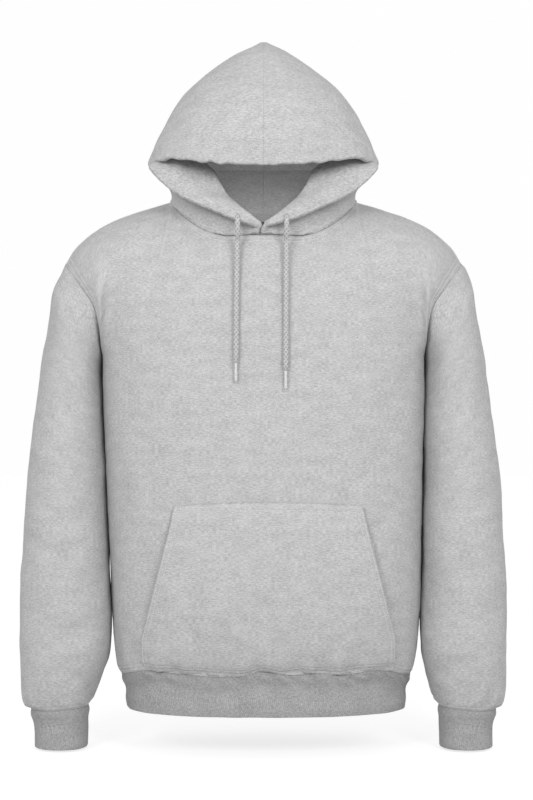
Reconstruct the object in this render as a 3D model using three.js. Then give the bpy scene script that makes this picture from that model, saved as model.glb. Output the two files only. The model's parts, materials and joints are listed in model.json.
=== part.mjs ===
// Pullover hoodie in grey heather fleece, filled out with no wearer.
// Millimetres, +Z up, the front faces -Y. X = 0 is the neck's centre, and Z = 0 is just
// under the high point of the shoulders. Left and right are as seen from the front.
import * as THREE from 'three';

// Cloth thicknesses. The hood, cuffs and hem band are double.
const FLEECE = 2.4;
const HOOD_CLOTH = 4;
const RIB_CLOTH = 3;
const TAPE_CLOTH = 1;
const SEAM_GAP = 0.3;

const SQUARENESS_OF_NECK = 2.1;
const UNDERARM_Z = -208;
const HEM_SEAM_FRONT_Z = -623;
const HEM_SEAM_SIDE_DROP = 13;
const HEM_BOTTOM_Z = -681.5;

const NECK_HALF_WIDTH = 127;
const NECK_CENTRE_Y = 5;
const NECK_FRONT_REACH = 100;
const NECK_BACK_REACH = 71;
const NECK_SHARE_OF_PANEL = 38;

const SLEEVE_POWER = 2.2;
const CUFF_BOTTOM_Z = -734;

const CORD_RADIUS = 3.5;
const CORD_SIDES = 8;
const TIP_RADIUS = 1.9;

const GREY_FLEECE = 0xcdcdcf;
const GREY_RIB = 0xa8a8aa;
const CORD_GREY = 0xbdbdc0;
const TAPE_GREY = 0xb4b4b6;
const TIP_CLEAR = 0xe4e4e6;

const RADIANS = Math.PI / 180;

// A table is read with a smooth curve through its rows, keyed by its first column.
function table(columnNames, rows) {
  const names = columnNames.split(' ');
  const keys = rows.map((row) => row[0]);
  const at = (key) => {
    const values = { [names[0]]: key };
    for (let column = 1; column < names.length; column += 1) {
      values[names[column]] = curveThrough(keys, rows.map((row) => row[column]), key);
    }
    return values;
  };
  return { at };
}

// Cubic curve through values at rising or falling keys, with slopes from its neighbours.
function curveThrough(keys, values, key) {
  const last = keys.length - 1;
  const rising = keys[last] > keys[0];
  let start = 0;
  while (start < last - 1 && (rising ? key > keys[start + 1] : key < keys[start + 1])) {
    start += 1;
  }
  const step = keys[start + 1] - keys[start];
  const rise = (values[start + 1] - values[start]) / step;
  const slopeAt = (index) => {
    if (index === 0 || index === last) {
      const near = index === 0 ? 0 : last - 1;
      return (values[near + 1] - values[near]) / (keys[near + 1] - keys[near]);
    }
    const before = keys[index] - keys[index - 1];
    const after = keys[index + 1] - keys[index];
    const riseBefore = (values[index] - values[index - 1]) / before;
    const riseAfter = (values[index + 1] - values[index]) / after;
    return (riseBefore * after + riseAfter * before) / (before + after);
  };
  const t = Math.min(Math.max((key - keys[start]) / step, 0), 1);
  const first = slopeAt(start) - rise;
  const second = slopeAt(start + 1) - rise;
  return values[start] + rise * step * t
    + step * t * (1 - t) * ((1 - t) * first - t * second);
}

function pointThrough(keys, points, key) {
  return new THREE.Vector3(
    curveThrough(keys, points.map((point) => point.x), key),
    curveThrough(keys, points.map((point) => point.y), key),
    curveThrough(keys, points.map((point) => point.z), key),
  );
}

const power = (value, exponent) => Math.sign(value) * Math.abs(value) ** exponent;
const mix = (from, to, share) => from + (to - from) * share;
const wholeNumbers = (from, to) => Array.from({ length: to - from + 1 }, (_, i) => from + i);
const smooth = (share) => {
  const t = Math.min(Math.max(share, 0), 1);
  return t * t * (3 - 2 * t);
};

// A wall of cloth from a grid of outer points: the inner points lie one thickness
// inside, the rims are closed, and cells that are left out leave a real gap.
// inwardAt gives the way in at a seam, so that two pieces meet face to face there.
// hand is 1 where rows, columns and the way out make a right-handed set, else -1.
function clothWall(grid, { thickness, hand, closed = false, cellAt = () => true,
  inwardAt = () => null, offset = 1 }) {
  const rows = grid.length;
  const columns = grid[0].length;
  const wrap = (column) => (closed ? (column + columns) % columns : column);
  const cellColumns = closed ? columns : columns - 1;
  const hasCell = (row, column) => row >= 0 && row < rows - 1
    && (closed || (column >= 0 && column < cellColumns)) && cellAt(row, wrap(column));

  const normals = grid.map((line) => line.map(() => new THREE.Vector3()));
  for (let row = 0; row < rows - 1; row += 1) {
    for (let column = 0; column < cellColumns; column += 1) {
      if (!hasCell(row, column)) {
        continue;
      }
      const next = wrap(column + 1);
      const corners = [[row, column], [row, next], [row + 1, column], [row + 1, next]];
      const [a, b, c, d] = corners.map(([r, k]) => grid[r][k]);
      const across = new THREE.Vector3().subVectors(d, a);
      const along = new THREE.Vector3().subVectors(c, b);
      const normal = new THREE.Vector3().crossVectors(across, along).multiplyScalar(hand);
      corners.forEach(([r, k]) => normals[r][k].add(normal));
    }
  }

  const vertices = [];
  const outerIndex = grid.map((line) => line.map(() => -1));
  const innerIndex = grid.map((line) => line.map(() => -1));
  for (let row = 0; row < rows; row += 1) {
    for (let column = 0; column < columns; column += 1) {
      const used = hasCell(row, column) || hasCell(row - 1, column)
        || hasCell(row, column - 1) || hasCell(row - 1, column - 1);
      if (!used) {
        continue;
      }
      const normal = normals[row][column].normalize();
      const inward = inwardAt(row, column) ?? normal.clone().multiplyScalar(-1);
      const outer = grid[row][column].clone().addScaledVector(inward, (offset - 1) * thickness);
      const inner = grid[row][column].clone().addScaledVector(inward, offset * thickness);
      outerIndex[row][column] = vertices.push(outer) - 1;
      innerIndex[row][column] = vertices.push(inner) - 1;
    }
  }

  const faces = [];
  const quad = (a, b, c, d) => faces.push(a, b, c, a, c, d);
  for (let row = 0; row < rows - 1; row += 1) {
    for (let column = 0; column < cellColumns; column += 1) {
      if (!hasCell(row, column)) {
        continue;
      }
      const next = wrap(column + 1);
      const ring = [[row, column], [row, next], [row + 1, next], [row + 1, column]];
      const outer = ring.map(([r, k]) => outerIndex[r][k]);
      const inner = ring.map(([r, k]) => innerIndex[r][k]);
      quad(outer[3], outer[2], outer[1], outer[0]);
      quad(inner[2], inner[3], inner[0], inner[1]);
      const open = [!hasCell(row - 1, column), !hasCell(row, column + 1),
        !hasCell(row + 1, column), !hasCell(row, column - 1)];
      open.forEach((isOpen, side) => {
        if (isOpen) {
          const end = (side + 1) % 4;
          quad(outer[side], outer[end], inner[end], inner[side]);
        }
      });
    }
  }
  return closedGeometry(vertices, faces);
}

// A closed solid from points and triangles, turned right side out by its volume.
function closedGeometry(vertices, faces) {
  let volume = 0;
  for (let face = 0; face < faces.length; face += 3) {
    const [a, b, c] = [0, 1, 2].map((corner) => vertices[faces[face + corner]]);
    volume += a.dot(new THREE.Vector3().crossVectors(b, c));
  }
  const ordered = volume > 0 ? faces : faces.slice().reverse();
  const geometry = new THREE.BufferGeometry();
  const flat = vertices.flatMap((vertex) => [vertex.x, vertex.y, vertex.z]);
  geometry.setAttribute('position', new THREE.Float32BufferAttribute(flat, 3));
  geometry.setIndex(ordered);
  geometry.computeVertexNormals();
  return geometry;
}

function grid(rowCount, columnCount, pointAt, closed = false) {
  const lines = [];
  for (let row = 0; row <= rowCount; row += 1) {
    const line = [];
    for (let column = 0; column < columnCount + (closed ? 0 : 1); column += 1) {
      line.push(pointAt(row / rowCount, column / columnCount));
    }
    lines.push(line);
  }
  return lines;
}

const mirrored = (point) => new THREE.Vector3(-point.x, point.y, point.z);

// Body

// Sections of the filled body from the underarm to the bottom of the hem band.
const bodySections = table('z halfWidth front back squareness', [
  [-208, 217.5, 127, 114, 3.0],
  [-290, 217, 130, 116, 2.75],
  [-375, 214.5, 131, 117, 2.6],
  [-470, 212, 130, 117, 2.55],
  [-560, 209, 127, 115, 2.5],
  [-595, 206.5, 123, 112, 2.5],
  [-612, 204.5, 119, 109, 2.5],
  [-622, 202.5, 115.5, 106, 2.5],
  [-636, 196.5, 112, 103, 2.5],
  [-646, 193.5, 111, 102, 2.5],
  [-656, 191.5, 110, 101, 2.5],
  [-672, 190.5, 109.5, 100.5, 2.5],
  [-682, 188.5, 108, 99, 2.5],
]);

// Height of the neck seam round the neck, from the front centre (0) to the back (180).
const neckHeights = table('angle z', [
  [0, -48], [20, -49], [30, -46], [40, -38], [50, -27],
  [62, -15], [75, -3], [90, 5], [112, 1.5], [140, -6], [180, -11],
]);

// Shoulder seam from the neck to the dropped armhole.
const shoulderSeam = table('share x z', [
  [0, 127, 5], [0.13, 145, -0.5], [0.25, 162, -6], [0.52, 201, -20.5],
  [0.7, 228, -34], [0.83, 246, -48], [0.93, 260, -63], [1, 270, -80],
]);

// Armhole seam from the shoulder (0) over its front or back to the underarm (180).
const armholeFront = table('turn x depth z', [
  [0, 270, 0, -80], [25, 263, 34, -89], [50, 249, 62, -107], [70, 236, 78, -124],
  [90, 225, 85, -140], [115, 219, 78, -163], [145, 217.5, 51, -191], [180, 217.5, 0, -208],
]);
const armholeBack = table('turn x depth z', [
  [0, 270, 0, -80], [25, 265, 32, -88], [50, 256, 58, -104], [70, 246, 72, -121],
  [90, 237, 78, -140], [115, 227, 71, -166], [145, 219.5, 45, -192], [180, 217.5, 0, -208],
]);
const ARMHOLE_CENTRE_Z = -144;

// A point of the body's surface by its angle from the front centre and its height.
function bodyPoint(angle, z) {
  const { halfWidth, front, back, squareness } = bodySections.at(z);
  const sine = Math.sin(angle * RADIANS);
  const cosine = Math.cos(angle * RADIANS);
  const x = halfWidth * power(sine, 2 / squareness);
  const y = (cosine > 0 ? -front : -back) * power(cosine, 2 / squareness);
  return new THREE.Vector3(x + bodyLean(z), y, z);
}

// The garment hangs a little askew: the body leans to the right below the underarm.
const LEAN_AT_HEM = 3.2;
function bodyLean(z) {
  return LEAN_AT_HEM * smooth((UNDERARM_Z - 20 - z) / 350);
}

// The hem seam runs level across the front and back, and lower round the sides.
function hemSeamZ(angle) {
  return HEM_SEAM_FRONT_Z - HEM_SEAM_SIDE_DROP * Math.sin(angle * RADIANS) ** 6;
}

// The neck seam by its angle from the front centre, right side of the garment.
function neckPoint(angle) {
  const sine = Math.sin(angle * RADIANS);
  const cosine = Math.cos(angle * RADIANS);
  const reach = cosine > 0 ? NECK_FRONT_REACH : NECK_BACK_REACH;
  return new THREE.Vector3(
    NECK_HALF_WIDTH * power(sine, 2 / SQUARENESS_OF_NECK),
    NECK_CENTRE_Y - reach * power(cosine, 2 / SQUARENESS_OF_NECK),
    neckHeights.at(angle).z,
  );
}

// At the neck seam the cloth ends are cut towards the inside and a little downwards.
function neckInward(point) {
  return new THREE.Vector3(-point.x, NECK_CENTRE_Y - point.y, 0).normalize()
    .multiplyScalar(0.8).add(new THREE.Vector3(0, 0, -0.6));
}

function armholeInward(point) {
  return new THREE.Vector3(0, -point.y, ARMHOLE_CENTRE_Z - point.z).normalize();
}

function shoulderPoint(share) {
  const { x, z } = shoulderSeam.at(share);
  return new THREE.Vector3(x, NECK_CENTRE_Y * (1 - share), z);
}

function armholePoint(turn, side) {
  const { x, depth, z } = (side < 0 ? armholeFront : armholeBack).at(turn);
  return new THREE.Vector3(x, side * depth, z);
}

// One column of a panel above the underarm: a curve from the neck or shoulder seam,
// leaving it forwards or backwards, down to the section at the underarm.
function yokeCurve(angle, share, side) {
  const onNeck = angle <= NECK_SHARE_OF_PANEL;
  const alongNeck = angle / NECK_SHARE_OF_PANEL * 90;
  const alongShoulder = (angle - NECK_SHARE_OF_PANEL) / (90 - NECK_SHARE_OF_PANEL);
  const top = onNeck
    ? neckPoint(side < 0 ? alongNeck : 180 - alongNeck)
    : shoulderPoint(alongShoulder);
  const bottom = bodyPoint(side < 0 ? angle : 180 - angle, UNDERARM_Z);
  const length = top.distanceTo(bottom);
  const turnOver = smooth(angle / 60);
  const startY = side * mix(0.42, 2.0, turnOver) * length;
  const startZ = mix(-0.85, -0.3, turnOver) * length;
  const blend = (from, to, leave, arrive) => {
    const t = share;
    return from * (1 + 2 * t) * (1 - t) ** 2 + to * t * t * (3 - 2 * t)
      + leave * t * (1 - t) ** 2 - arrive * t * t * (1 - t);
  };
  return new THREE.Vector3(
    blend(top.x, bottom.x, 0, 0),
    blend(top.y, bottom.y, startY, 0),
    blend(top.z, bottom.z, startZ, -length),
  );
}

// A panel point by its angle from the panel's centre and by its share of the yoke.
function yokePoint(angle, share, side) {
  const point = yokeCurve(angle, share, side);
  const pull = smooth((angle - NECK_SHARE_OF_PANEL) / (90 - NECK_SHARE_OF_PANEL));
  const edge = yokeCurve(90, share, side);
  const armhole = armholePoint(share * 180, side);
  return point.add(armhole.sub(edge).multiplyScalar(pull ** 3));
}

// Columns of a panel from its centre: as far as the neck, then along the shoulder.
const NECK_COLUMNS = 6;
const SHOULDER_COLUMNS = 7;
const PANEL_HALF_COLUMNS = NECK_COLUMNS + SHOULDER_COLUMNS;
const YOKE_ROWS = 12;
const panelDrops = [0.2, 0.42, 0.64, 0.82, 0.91, 0.96, 1];

function panelAngle(column) {
  return column <= NECK_COLUMNS
    ? column / NECK_COLUMNS * NECK_SHARE_OF_PANEL
    : mix(NECK_SHARE_OF_PANEL, 90, (column - NECK_COLUMNS) / SHOULDER_COLUMNS);
}

// The front (side -1) or back (side 1) panel, from the neck and shoulders to the hem seam.
function bodyPanel(side) {
  const columns = 2 * PANEL_HALF_COLUMNS;
  const shares = [];
  for (let row = 0; row <= YOKE_ROWS; row += 1) {
    shares.push({ yoke: row / YOKE_ROWS });
  }
  panelDrops.forEach((drop) => shares.push({ drop }));
  const lines = shares.map(({ yoke, drop }) => {
    const line = [];
    for (let column = 0; column <= columns; column += 1) {
      const across = column - PANEL_HALF_COLUMNS;
      const angle = panelAngle(Math.abs(across));
      const signedAngle = across < 0 ? -angle : angle;
      const bodyAngle = side < 0 ? signedAngle : 180 - signedAngle;
      const onYoke = yoke !== undefined;
      const point = onYoke ? yokePoint(angle, yoke, side)
        : bodyPoint(bodyAngle, mix(UNDERARM_Z, hemSeamZ(angle), drop));
      if (angle === 90 || (yoke === 0 && angle > NECK_SHARE_OF_PANEL)) {
        point.y += side * SEAM_GAP / 2;
      }
      line.push(onYoke && across < 0 ? mirrored(point) : point);
    }
    return line;
  });
  const lastRow = lines.length - 1;
  const inwardAt = (row, column) => {
    const point = lines[row][column];
    const angle = panelAngle(Math.abs(column - PANEL_HALF_COLUMNS));
    if (angle === 90) {
      return row <= YOKE_ROWS ? armholeInward(point)
        : new THREE.Vector3(-Math.sign(point.x), 0, 0);
    }
    if (row === 0) {
      return angle <= NECK_SHARE_OF_PANEL ? neckInward(point) : new THREE.Vector3(0, 0, -1);
    }
    return row === lastRow ? new THREE.Vector3(-point.x, -point.y, 0).normalize() : null;
  };
  return clothWall(lines, { thickness: FLEECE, hand: side, inwardAt });
}

// Hem band, in the same columns as the panels above it
const BAND_ROWS = 4;
function hemBand() {
  const quarter = wholeNumbers(0, PANEL_HALF_COLUMNS).map(panelAngle);
  const half = [...quarter, ...quarter.slice(0, -1).reverse().map((angle) => 180 - angle)];
  const round = [...half, ...half.slice(1, -1).reverse().map((angle) => -angle)];
  const lines = wholeNumbers(0, BAND_ROWS).map((row) => round.map((angle) => {
    const top = hemSeamZ(angle) - SEAM_GAP;
    return bodyPoint(angle, mix(top, HEM_BOTTOM_Z, row / BAND_ROWS));
  }));
  const inwardAt = (row, column) => {
    const point = lines[row][column];
    return new THREE.Vector3(-point.x, -point.y, 0).normalize();
  };
  return clothWall(lines, { thickness: RIB_CLOTH, hand: -1, closed: true, inwardAt });
}

// Sleeves

// Slanted rings down the sleeve: outermost and innermost point, half depth, forward lean.
const sleeveRings = table('ring outerX outerZ innerX innerZ halfDepth lean', [
  [1, 283.5, -116, 219.3, -224, 80, 0],
  [2, 290, -158, 218.9, -247, 79, -2],
  [3, 299.5, -220, 218.4, -286, 77, -4],
  [4, 308, -285, 217.3, -335, 74, -7],
  [5, 316, -350, 215.7, -385, 72, -10],
  [6, 322, -420, 214.3, -440, 69.5, -13],
  [7, 325.5, -490, 212.7, -500, 67, -15],
  [8, 327, -555, 210.6, -557, 64, -17],
  [9, 327.5, -606, 212.5, -600, 60, -18],
  [10, 326, -644, 221, -636, 54, -18],
  [11, 322.5, -668, 228.5, -660, 48.5, -18],
  [12, 315.5, -682, 236.5, -678, 42.5, -18],
]);
const LAST_RING = 12;
const SLEEVE_COLUMNS = 2 * YOKE_ROWS;
const sleeveStops = [0, 0.5, 1, 2, 3.2, 4.6, 6, 7.4, 8.6, 9.6, 10.6, 11.4, 12];

// The innermost line keeps clear of the leaning body. sign is 1 for the right sleeve.
function ringPoint(turn, ring, sign) {
  const { outerX, outerZ, innerX, innerZ, halfDepth, lean } = sleeveRings.at(ring);
  const along = power(Math.cos(turn * RADIANS), 2 / SLEEVE_POWER);
  const across = power(Math.sin(turn * RADIANS), 2 / SLEEVE_POWER);
  const aside = sign * bodyLean(innerZ) * smooth((11 - ring) / 2.5);
  return new THREE.Vector3(
    mix(outerX, innerX + aside, (1 - along) / 2),
    lean - halfDepth * across,
    mix(outerZ, innerZ, (1 - along) / 2),
  );
}

// The right sleeve's surface: turn 0 is outermost, 90 the front, 180 next to the body.
function sleevePoint(turn, ring, sign) {
  const side = turn <= 180 ? -1 : 1;
  const start = armholePoint(side < 0 ? turn : 360 - turn, side);
  start.x += SEAM_GAP;
  const keys = [0, 1, 2];
  const points = [start, ringPoint(turn, 1, sign), ringPoint(turn, 2, sign)];
  if (ring < 1) {
    return pointThrough(keys, points, ring);
  }
  const upper = pointThrough([0, 1, 2], points, Math.min(ring, 2));
  return upper.lerp(ringPoint(turn, ring, sign), smooth(ring - 1));
}

function sleeve(sign) {
  const lines = sleeveStops.map((ring) => {
    const line = [];
    for (let column = 0; column < SLEEVE_COLUMNS; column += 1) {
      const point = sleevePoint(column / SLEEVE_COLUMNS * 360, ring, sign);
      line.push(sign < 0 ? mirrored(point) : point);
    }
    return line;
  });
  const lastRow = lines.length - 1;
  const inwardAt = (row, column) => {
    const point = lines[row][column];
    if (row === 0) {
      return armholeInward(point);
    }
    return row === lastRow ? cuffInward(point, sign) : null;
  };
  return clothWall(lines, { thickness: FLEECE, hand: sign, closed: true, inwardAt });
}

// Cuffs
const cuffRings = table('z halfWidth halfDepth', [
  [-680, 40, 42.5],
  [-688, 37.6, 40.4],
  [-698, 36.2, 39],
  [-712, 35.4, 38.4],
  [-734, 34.8, 37.6],
]);
const CUFF_CENTRE_X = 276;
const CUFF_BOTTOM_CENTRE_X = 274;
const CUFF_CENTRE_Y = -18;
const CUFF_TOP_ROW_Z = -680;

function cuffInward(point, sign) {
  return new THREE.Vector3(sign * CUFF_CENTRE_X - point.x, CUFF_CENTRE_Y - point.y, 0)
    .normalize();
}

// A right cuff point: the first row is the sleeve's last ring, just below it.
function cuffPoint(turn, down) {
  const seam = ringPoint(turn, LAST_RING, 1);
  seam.z -= SEAM_GAP;
  const z = mix(CUFF_TOP_ROW_Z, CUFF_BOTTOM_Z, down);
  const { halfWidth, halfDepth } = cuffRings.at(z);
  const centreX = mix(CUFF_CENTRE_X, CUFF_BOTTOM_CENTRE_X, smooth(down * 2));
  const round = new THREE.Vector3(
    centreX + halfWidth * power(Math.cos(turn * RADIANS), 2 / SLEEVE_POWER),
    CUFF_CENTRE_Y - halfDepth * power(Math.sin(turn * RADIANS), 2 / SLEEVE_POWER),
    z,
  );
  return seam.lerp(round, smooth(down / 0.3));
}

function cuff(sign) {
  const stops = [0, 0.12, 0.3, 0.6, 1];
  const lines = stops.map((down) => {
    const line = [];
    for (let column = 0; column < SLEEVE_COLUMNS; column += 1) {
      const point = cuffPoint(column / SLEEVE_COLUMNS * 360, down);
      line.push(sign < 0 ? mirrored(point) : point);
    }
    return line;
  });
  const inwardAt = (row, column) => cuffInward(lines[row][column], sign);
  return clothWall(lines, { thickness: RIB_CLOTH, hand: sign, closed: true, inwardAt });
}

// Hood

// Lower sections of one hood panel, from the neck seam up to the brim: the free edge of
// the lapel, its roll, the stand behind it, the side and the back seam.
const hoodLowerSections = table('row edgeX edgeY edgeZ rollX rollY rollZ standX standY standZ'
  + ' sideX sideY sideZ backY backZ', [
  [1, 8, -106, -40.5, 9, -100, -36, 113, -42, -3, 127, 4, 12, 78, 1.5],
  [2, 38, -111, -31, 15, -104, -27, 110, -46, 6, 128, 2, 20, 84, 14],
  [3, 83, -100, -11, 34, -95, -10, 110, -46, 15, 132, 0, 26, 92, 27],
  [4, 114, -87, 5, 48, -84, 3, 113, -43, 24, 138, -3, 33, 100, 38],
  [5, 134, -77, 21, 59, -74, 21, 120, -38, 31, 144, -6, 39, 107, 47],
  [6, 149, -67, 37, 69, -61, 40, 130, -31, 38, 149, -10, 44, 112, 54],
  [7, 152.5, -59, 44, 98, -46, 58, 142, -23, 46, 152, -13, 48, 116, 59],
]);
const BRIM_ROW = 8;

// Upper sections, from the brim to the ridge: the crown seam, the side, the back seam.
const hoodUpperSections = table('row frontY frontZ sideX sideY sideZ backY backZ power', [
  [8, -119, 39, 152, -15, 51, 118, 62, 2.3],
  [9, -121, 66, 147, -8, 75, 123, 87, 2.3],
  [10, -117.5, 95, 135.5, 0, 101, 125, 111, 2.25],
  [11, -107.5, 124, 120.5, 6, 129, 122, 136, 2.2],
  [12, -91.5, 151, 100.5, 12, 156, 112, 160, 2.1],
  [13, -69, 178, 73, 18, 180, 96, 183, 2.0],
  [14, -42, 203, 38, 22, 204, 72, 205, 1.9],
]);
const RIDGE_ROW = 15;
const RIDGE_FRONT_Y = -14;
const RIDGE_BACK_Y = 48;
const RIDGE_TOP_Z = 224.5;
const RIDGE_END_DROP = 9;

// Angles of the columns round an upper section. The lapel starts at the corner column.
const hoodAngles = [0, 18, 36, 54, 72, 76, 80, 85, 91, 103, 125, 152, 180];
const CORNER_COLUMN = 4;
const LAST_HOOD_COLUMN = hoodAngles.length - 1;

// The lapel's columns share the first step of the neck seam, the others a step each.
const NECK_STEP = 90 / NECK_COLUMNS;
const STAND_COLUMN = 6.5;
const THROAT_ANGLE = 2.2;
function neckAngle(column) {
  return column < STAND_COLUMN
    ? mix(THROAT_ANGLE, NECK_STEP, (column - CORNER_COLUMN) / (STAND_COLUMN - CORNER_COLUMN))
    : (column - STAND_COLUMN) * 2 * NECK_STEP + NECK_STEP;
}

// The lower edge of the hood lies on the same straight steps as the neck of the body.
function hoodFoot(column) {
  const angle = Math.min(neckAngle(column), 180);
  const before = Math.floor(angle / NECK_STEP) * NECK_STEP;
  const after = Math.min(before + NECK_STEP, 180);
  const point = neckPoint(before).lerp(neckPoint(after), (angle - before) / NECK_STEP);
  point.z += SEAM_GAP;
  return point;
}
const LAPEL_CROWN = 5;

// A point round a section: a quarter oval from the front to the side, one to the back.
function hoodOval(angle, section) {
  const { frontY, frontZ, sideX, sideY, sideZ, backY, backZ } = section;
  const exponent = 2 / section.power;
  const x = sideX * Math.max(Math.sin(angle * RADIANS), 0) ** exponent;
  const toSide = 1 - Math.abs(Math.cos(angle * RADIANS)) ** exponent;
  const endY = angle <= 90 ? frontY : backY;
  const endZ = angle <= 90 ? frontZ : backZ;
  return new THREE.Vector3(x, mix(endY, sideY, toSide), mix(endZ, sideZ, toSide));
}

// The row of guide points of the right hood panel at each whole row.
function hoodGuideRow(row) {
  if (row === 0) {
    return hoodAngles.map((_, column) => hoodFoot(Math.max(column, CORNER_COLUMN)));
  }
  if (row < BRIM_ROW) {
    const section = hoodLowerSections.at(row);
    const edge = new THREE.Vector3(section.edgeX, section.edgeY, section.edgeZ);
    const roll = new THREE.Vector3(section.rollX, section.rollY, section.rollZ);
    const stand = new THREE.Vector3(section.standX, section.standY, section.standZ);
    const width = edge.distanceTo(roll);
    const lapel = edge.clone().lerp(roll, 0.5);
    lapel.z += LAPEL_CROWN * Math.min(width / 80, 1);
    lapel.y -= LAPEL_CROWN * Math.min(width / 80, 1);
    const behind = roll.clone().lerp(stand, 0.5);
    const lowRow = smooth((3.5 - row) / 2.5);
    behind.y -= 12 * lowRow;
    behind.z -= 10 * lowRow;
    const oval = { ...section, power: 2.3 };
    const sideAndBack = hoodAngles.slice(CORNER_COLUMN + 5)
      .map((angle) => hoodOval(angle, oval));
    const blank = hoodAngles.slice(0, CORNER_COLUMN).map(() => edge.clone());
    return [...blank, edge, lapel, roll, behind, stand, ...sideAndBack];
  }
  if (row < RIDGE_ROW) {
    const section = hoodUpperSections.at(row);
    return hoodAngles.map((angle) => hoodOval(angle, section));
  }
  return hoodAngles.map((angle) => {
    const share = (1 - Math.cos(angle * RADIANS)) / 2;
    const y = mix(RIDGE_FRONT_Y, RIDGE_BACK_Y, share);
    return new THREE.Vector3(0, y, RIDGE_TOP_Z - RIDGE_END_DROP * (2 * share - 1) ** 2);
  });
}

const hoodGuides = [];
for (let row = 0; row <= RIDGE_ROW; row += 1) {
  hoodGuides.push(hoodGuideRow(row));
}

// At the throat the right lapel reaches past the centre, in front of the left one.
const THROAT_REACH = 9;
const THROAT_LIFT = 2;
function throatShare(column, row) {
  return smooth(1 - row / 2.6) * smooth(1 - (column - CORNER_COLUMN) / 2.5);
}

// The hood's surface between its guide points. The front part starts at the brim.
function hoodPoint(column, row) {
  if (row === 0) {
    return hoodFoot(Math.max(column, CORNER_COLUMN));
  }
  const firstRow = column < CORNER_COLUMN ? BRIM_ROW : 0;
  const firstColumn = row < BRIM_ROW ? CORNER_COLUMN : 0;
  const rowKeys = wholeNumbers(firstRow, RIDGE_ROW);
  const columnKeys = wholeNumbers(firstColumn, LAST_HOOD_COLUMN);
  const across = columnKeys.map((guide) => pointThrough(
    rowKeys, rowKeys.map((line) => hoodGuides[line][guide]), row));
  return pointThrough(columnKeys, across, column);
}

const hoodRowStops = [0, 0.5, 1, 2, 3, 4, 5, 6, 7, 7.5, 8, 9, 10, 11, 12, 13, 14, 14.6, 15];
const hoodColumnStops = [0, 1, 2, 3, 4, 4.5, 5, 5.5, 5.8, 6.1, 6.5, 7, 7.5, 8, 8.5, 9, 9.5,
  10, 10.5, 11, 11.5, 12];

function hoodPanel(sign) {
  const lines = hoodRowStops.map((row) => hoodColumnStops.map((column) => {
    const point = hoodPoint(column, row);
    point.x = Math.max(point.x, 0) + SEAM_GAP / 2;
    if (sign < 0) {
      return mirrored(point);
    }
    const share = row < BRIM_ROW ? throatShare(column, row) : 0;
    point.x -= THROAT_REACH * share;
    point.y -= THROAT_LIFT * share * Math.min(row, 1);
    return point;
  }));
  const lastRow = lines.length - 1;
  const lastColumn = hoodColumnStops.length - 1;
  const cellAt = (row, column) => hoodRowStops[row] >= BRIM_ROW
    || hoodColumnStops[column] >= CORNER_COLUMN;
  const inwardAt = (row, column) => {
    const point = lines[row][column];
    if (row === 0) {
      return neckInward(point);
    }
    const onSeam = row === lastRow || column === lastColumn
      || (column === 0 && hoodRowStops[row] >= BRIM_ROW);
    return onSeam ? hoodSeamInward(point) : null;
  };
  return clothWall(lines, { thickness: HOOD_CLOTH, hand: sign, cellAt, inwardAt, offset: 0.5 });
}

// Along the centre seam of the hood the cloth ends lie in the plane of the seam.
const HOOD_HEART_Y = 10;
const HOOD_HEART_Z = 80;
function hoodSeamInward(point) {
  return new THREE.Vector3(0, HOOD_HEART_Y - point.y, HOOD_HEART_Z - point.z).normalize();
}

// Pocket
const POCKET_TOP_Z = -404;
const POCKET_TOP_ARCH = 5;
const POCKET_CENTRE_X = 6.5;
const POCKET_OPENING_END_Z = -563;
const POCKET_SEWN_LIFT = 1.3;
const POCKET_FULLNESS = 9;
const POCKET_MOUTH_LIFT = 6;
const POCKET_SEAM_ANGLE = 51;

const pocketSides = table('z halfWidth', [
  [-404, 122], [-420, 124.5], [-470, 135.5], [-520, 148], [-555, 158], [-572, 163.5], [-632, 165.5],
]);

function frontSurface(x, z) {
  const { halfWidth, front, squareness } = bodySections.at(z);
  const share = Math.min(Math.abs(x - bodyLean(z)) / halfWidth, 1);
  return new THREE.Vector3(x, -front * (1 - share ** squareness) ** (1 / squareness), z);
}

function frontNormal(x, z) {
  const here = frontSurface(x, z);
  const across = frontSurface(x + 1, z).sub(here);
  const up = frontSurface(x, z + 1).sub(here);
  return across.cross(up).normalize();
}

// The pocket stands off the front in its middle and at its slanted mouths.
function pocketPoint(down, across) {
  const side = across * 2 - 1;
  const seamAngle = Math.abs(side) * POCKET_SEAM_ANGLE;
  const top = POCKET_TOP_Z + POCKET_TOP_ARCH * (1 - side * side);
  const z = mix(top, hemSeamZ(seamAngle) + 1, down);
  const x = POCKET_CENTRE_X + side * pocketSides.at(z).halfWidth;
  const mouthShare = (POCKET_TOP_Z - z) / (POCKET_TOP_Z - POCKET_OPENING_END_Z);
  const mouth = Math.sin(Math.PI * Math.min(Math.max(mouthShare, 0), 1)) ** 0.6;
  const fromSide = Math.sqrt(Math.max(1 - Math.abs(side) ** 4, 0));
  const fromEnds = Math.sin(Math.PI * Math.min(down, 1)) ** 0.7;
  const fullness = POCKET_FULLNESS * fromSide * fromEnds
    + POCKET_MOUTH_LIFT * mouth * Math.abs(side) ** 6;
  const lift = FLEECE + POCKET_SEWN_LIFT + fullness;
  return frontSurface(x, z).addScaledVector(frontNormal(x, z), lift);
}

function pocket() {
  return clothWall(grid(9, 14, pocketPoint), { thickness: FLEECE, hand: -1 });
}

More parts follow.
